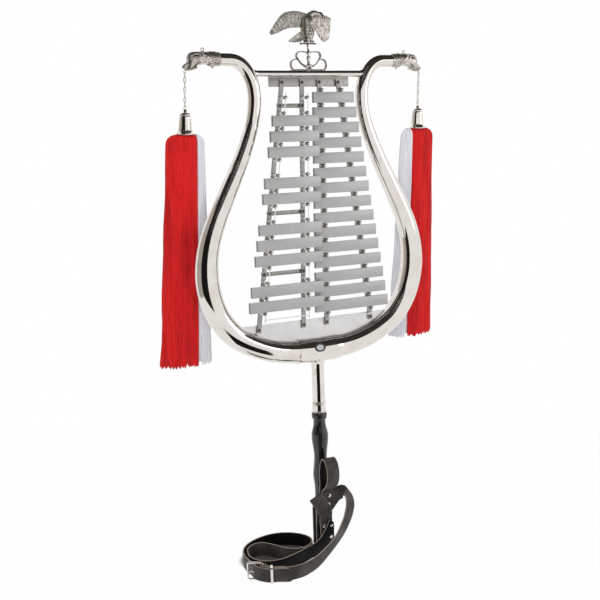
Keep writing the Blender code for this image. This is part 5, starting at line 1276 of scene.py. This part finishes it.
def add_wing(bm, upper, lower, side, seat, h):
    """A wing of three rows of feathers on a thin web, under a rounded leading edge."""
    top = course([(side * WING_SPAN * a, 0, seat + h * b) for a, b in upper], 5)
    low = course([(side * WING_SPAN * a, 0, seat + h * b) for a, b in lower], 5)
    verts = [bm.verts.new(p) for p in (*top, *reversed(low))]
    face = bmesh.ops.contextual_create(bm, geom=loop_edges(bm, verts))["faces"]
    grown = bmesh.ops.extrude_face_region(bm, geom=face)["geom"]
    bmesh.ops.translate(bm, vec=(0, 0.0008, 0), verts=[g for g in grown if isinstance(g, bmesh.types.BMVert)])
    for face_y in (-1, 1):
        rows = ((13, 0.30, 1.00, 0.0066, 0.0009), (11, 0.12, 0.62, 0.0062, 0.0013), (12, 0.02, 0.36, 0.0052, 0.0017))
        for count, start, end, wide, lift in rows:
            for k in range(count):
                share = (k + 0.5) / count
                a, b = sample(top, share), sample(low, share)
                raised = Y * (face_y * lift + (0.0004 if face_y > 0 else 0))
                leaf(bm, a.lerp(b, start) + raised, a.lerp(b, end) + raised, wide, 0.0016, (0, face_y, 0), 0.0003)
    tube(bm, top, [0.0019 - 0.0009 * i / len(top) for i in range(len(top))], 12)


def make_eagle():
    """A perched eagle: feathered chest, raised wings, a fan of tail and dark talons."""
    seat, h = FOOT_Z + PERCH_RISE + GAP, BIRD_RISE
    bm = bmesh.new()
    for side, upper, lower in (
        (-1, [(0.03, 0.90), (0.27, 0.985), (0.52, 0.975), (0.69, 0.865), (0.845, 0.62), (1.005, 0.325)],
         [(0.05, 0.47), (0.29, 0.48), (0.54, 0.455), (0.80, 0.315), (0.965, 0.262)]),
        (1, [(0.03, 0.84), (0.28, 0.88), (0.51, 0.92), (0.75, 0.90), (0.93, 0.84)],
         [(0.05, 0.60), (0.28, 0.50), (0.44, 0.24), (0.64, 0.05), (0.84, 0.16)])):
        wing = bmesh.new()
        add_wing(wing, upper, lower, side, seat, h)
        swept = Matrix.Rotation(side * math.radians(20), 3, "Z")
        bmesh.ops.rotate(wing, cent=(0, 0, 0), matrix=swept, verts=wing.verts)
        mesh = bpy.data.meshes.new("wing")
        wing.to_mesh(mesh)
        wing.free()
        bm.from_mesh(mesh)
        bpy.data.meshes.remove(mesh)
    trunk = course([(0, 0.002, 0.02 * h), (0, 0.002, 0.14 * h), (-0.001, 0, 0.42 * h),
                    (0, -0.001, 0.68 * h), (0.003, -0.002, 0.86 * h)], 5)
    girth = course([(0, 0.0060, 0), (0, 0.0088, 0), (0, 0.0122, 0), (0, 0.0122, 0), (0, 0.0075, 0)], 5)
    tube(bm, [p + Z * seat for p in trunk], [g.y for g in girth], 24)
    neck = course([(0.001, -0.001, 0.80 * h), (0.009, -0.004, 0.928 * h), (0.0165, -0.006, 0.928 * h),
                   (0.0225, -0.007, 0.88 * h), (0.0258, -0.008, 0.79 * h)], 5)
    girth = course([(0, 0.0080, 0), (0, 0.0054, 0), (0, 0.0044, 0), (0, 0.0024, 0), (0, 0.0006, 0)], 5)
    tube(bm, [p + Z * seat for p in neck], [g.y for g in girth], 20)
    # The beak takes the dark plate: tarnish with painted shade.
    beak = course([(0.0195, -0.0085, 0.955 * h), (0.0245, -0.0098, 0.93 * h),
                   (0.0272, -0.0105, 0.85 * h), (0.0272, -0.0105, 0.755 * h)], 4)
    girth = [0.0011 + 0.0006 * math.sin(math.pi * min(i / 9, 1.0)) for i in range(13)]
    tube(bm, [p + Z * seat for p in beak], girth, 12, slot=2)
    for row in range(7):
        z = seat + h * (0.80 - 0.105 * row)
        girth = (0.0088, 0.0114, 0.0123, 0.0123, 0.0116, 0.0101, 0.0083)[row]
        for k in range(9):
            t = math.radians(-180 + 22.5 * (k + 0.5 * (row % 2)) - 5)
            away = Vector((math.cos(t), math.sin(t), 0))
            root = Vector((0, 0, z)) + away * girth
            leaf(bm, root, root - Z * 0.0085 + away * 0.0006, 0.0048, 0.0012, away, 0.0003, steps=3)
    for k in range(9):
        share = (k - 4) / 4
        root = Vector((-0.003 + 0.002 * share, 0.005, seat + 0.40 * h))
        tip = Vector((-0.017 + 0.012 * share, 0.0215 - 0.001 * abs(share), seat + 0.03 * h + 0.0010 * abs(share)))
        leaf(bm, root, tip, 0.0058, 0.0016, (-0.5, -0.95, -0.25), 0.0004, blunt=0.8)
    for side in (-1, 1):
        leg = [Vector((side * 0.0050, -0.001, seat + 0.20 * h)), Vector((side * 0.0062, -0.003, seat + 0.08 * h)),
               Vector((side * 0.0068, -0.0022, seat + 0.002))]
        tube(bm, course(leg, 3), [0.0036, 0.0034, 0.0030, 0.0026, 0.0022, 0.0018, 0.0016], 12)
        # The talons take the dark plate: tarnish with painted shade.
        for toe in (-1, 0, 1):
            base = Vector((side * 0.0068, -0.0018, seat + 0.0016))
            claw = [base, base + Vector((toe * 0.0022, -0.0020, 0.0006)),
                    base + Vector((toe * 0.0034, -0.0030, -0.0016)), base + Vector((toe * 0.0036, -0.0026, -0.0040))]
            tube(bm, course(claw, 3), [0.0014 - 0.0001 * i for i in range(10)], 8, slot=2)
    # The eyes take the dark plate: tarnish with painted shade.
    for side in (-1, 1):
        spot = Vector((0.0150, -0.006 + side * 0.0038, seat + 0.965 * h))
        turned(bm, dome(0.0009, 0.0006, 3), 10, facing(Y * side, spot), 2)
    finish("finial_bird", bm, "lyre", [CAST, CHROME_SMALL, TARNISH_AND_SHADE], ["finial_eagle"], "chrome", 50)


# Studio

def card_tone(name, low, high):
    """A studio card's own tone, warm and a little cloudy, whatever light falls on it."""
    f = Finish(name)
    cloud = f.noise(f.place(), 2.5, 3)
    tone = f.mix(cloud, (1.12 * low, low, 0.90 * low), (1.08 * high, high, 0.92 * high))
    dull = {"Base_Color": (0, 0, 0), "Roughness": 1.0, "Specular_IOR_Level": 0.0}
    return f.done(**dull, Emission_Color=tone, Emission_Strength=1.0)


def seen_share(f):
    """1 for a ray from the camera, or one that metal or glass reflects, and 0 for the rest."""
    path = f.tree.nodes.new("ShaderNodeLightPath")
    names = ("Is Camera Ray", "Is Glossy Ray", "Is Transmission Ray")
    camera, glossy, through = (Wire(f, path.outputs[n]) for n in names)
    return f.node("ShaderNodeClamp", {}, {0: camera + glossy + through})


SHADE_CENTRE, SHADE_REACH = (-0.094, 0.016, 0), (0.078, 0.066)


def set_world():
    """White to the camera and in mirrors, and a softer white as light on the object."""
    world = bpy.data.worlds.new("studio")
    bpy.context.scene.world = world
    sky = Finish.of_world(world)
    back = world.node_tree.nodes["Background"]
    back.inputs["Color"].default_value = (1, 1, 1, 1)
    sky.feed(back.inputs["Strength"], 0.55 + 0.45 * seen_share(sky))
    bpy.context.scene.view_settings.view_transform = "Standard"


def set_floor():
    """A white floor that glows as the background does, but inside the coiled straps it has a painted shadow: dark and
    without glow.
    """
    floor = Finish("studio_floor")
    grain = floor.noise(floor.place(), 3, 2)
    spot = floor.node("ShaderNodeVectorMath", {"operation": "SUBTRACT"}, {0: floor.place(), 1: SHADE_CENTRE})
    half_x, half_y = SHADE_REACH
    spot = floor.node("ShaderNodeVectorMath", {"operation": "MULTIPLY"}, {0: spot, 1: (1 / half_x, 1 / half_y, 0)})
    reach = floor.node("ShaderNodeVectorMath", {"operation": "LENGTH"}, {0: spot}, 1)
    open_floor = floor.ramp(reach, (0.86, 0.0), (1.0, 1.0))
    far = floor.ramp(0.05 * reach, (0.35, 0.0), (0.80, 1.0))
    pale = floor.mix(grain, (0.90, 0.90, 0.90), (0.94, 0.94, 0.94))
    # Inside the coil the floor is painted dark as the straps' shadow.
    floor.feed(floor.shader.inputs["Base Color"], floor.mix(open_floor, (0.10, 0.095, 0.09), pale))
    floor.shader.inputs["Roughness"].default_value = 0.9
    glow = floor.tree.nodes.new("ShaderNodeEmission")
    glow.inputs["Color"].default_value = (1, 1, 1, 1)
    both = floor.tree.nodes.new("ShaderNodeMixShader")
    floor.feed(both.inputs[0], (0.97 + 0.03 * far) * seen_share(floor) * open_floor)
    floor.tree.links.new(floor.shader.outputs[0], both.inputs[1])
    floor.tree.links.new(glow.outputs[0], both.inputs[2])
    floor.tree.links.new(both.outputs[0], floor.tree.nodes["Material Output"].inputs[0])
    bm = bmesh.new()
    bmesh.ops.create_grid(bm, x_segments=1, y_segments=1, size=20)
    mesh = bpy.data.meshes.new("studio_floor")
    bm.to_mesh(mesh)
    bm.free()
    mesh.materials.append(floor.material)
    ground = bpy.data.objects.new("studio_floor", mesh)
    bpy.context.collection.objects.link(ground)


def set_cards():
    """Unlit cards where the polished tubes mirror them, unseen by the camera."""
    black, grey = card_tone("dark_card", 0.004, 0.018), card_tone("grey_card", 0.36, 0.50)
    brown = card_tone("brown_ceiling", 0.012, 0.055)
    near, mid, far = (-0.42, -0.55), (-1.20, -0.15), (-1.00, 0.90)
    low_left, low_right = (-0.262, -0.199), (0.032, -0.352)
    cards = [
        ("card_band", black, [(*near, 0.22), (*mid, 0.10), (*mid, 1.35), (*near, 1.35)]),
        ("card_side", grey, [(*mid, 0.10), (*far, 0.10), (*far, 1.35), (*mid, 1.35)]),
        ("card_low", black, [(*low_left, 0.001), (*low_right, 0.001), (*low_right, 0.315), (*low_left, 0.315)]),
        ("card_ceiling", brown, [(-2.6, -1.6, 1.28), (2.2, -1.6, 1.28), (2.2, -0.6, 1.75), (-2.6, -0.6, 1.75)]),
        ("card_overhead", brown, [(-2.6, -0.6, 1.75), (2.2, -0.6, 1.75), (2.2, 0.5, 1.90), (-2.6, 0.5, 1.90)]),
    ]
    for name, material, corners in cards:
        bm = bmesh.new()
        bmesh.ops.contextual_create(bm, geom=[bm.verts.new(c) for c in corners])
        mesh = bpy.data.meshes.new(name)
        bm.to_mesh(mesh)
        bm.free()
        mesh.materials.append(material)
        card = bpy.data.objects.new(name, mesh)
        bpy.context.collection.objects.link(card)
        card.visible_camera = False
        card.visible_diffuse = False
        card.visible_shadow = False


def set_lamps():
    """Three soft lamps at a plain level: from the left, from the right and from behind."""
    for name, at, aim, size, power in (
        ("key", (-2.4, -3.4, 3.6), (0, 0, 0.6), 2.4, 62),
        ("fill", (3.2, -2.8, 1.8), (0, 0, 0.5), 2.4, 28),
        ("back", (0.6, 2.0, 2.0), (0, 0, 0.6), 1.4, 9),
    ):
        lamp = bpy.data.lights.new(name, "AREA")
        lamp.shape = "DISK"
        lamp.size = size
        lamp.energy = power
        light = bpy.data.objects.new(name, lamp)
        light.matrix_world = facing(Vector(at) - Vector(aim), at)
        bpy.context.collection.objects.link(light)


set_camera()
set_world()
set_floor()
set_cards()
set_lamps()
make_arms()
make_crossbar()
make_base()
make_pole()
make_bars()
make_rails()
make_plates()
make_cords()
make_cradle()
make_long_strap()
make_short_strap()
make_buckle()
make_hangings()
make_finial_base()
make_eagle()
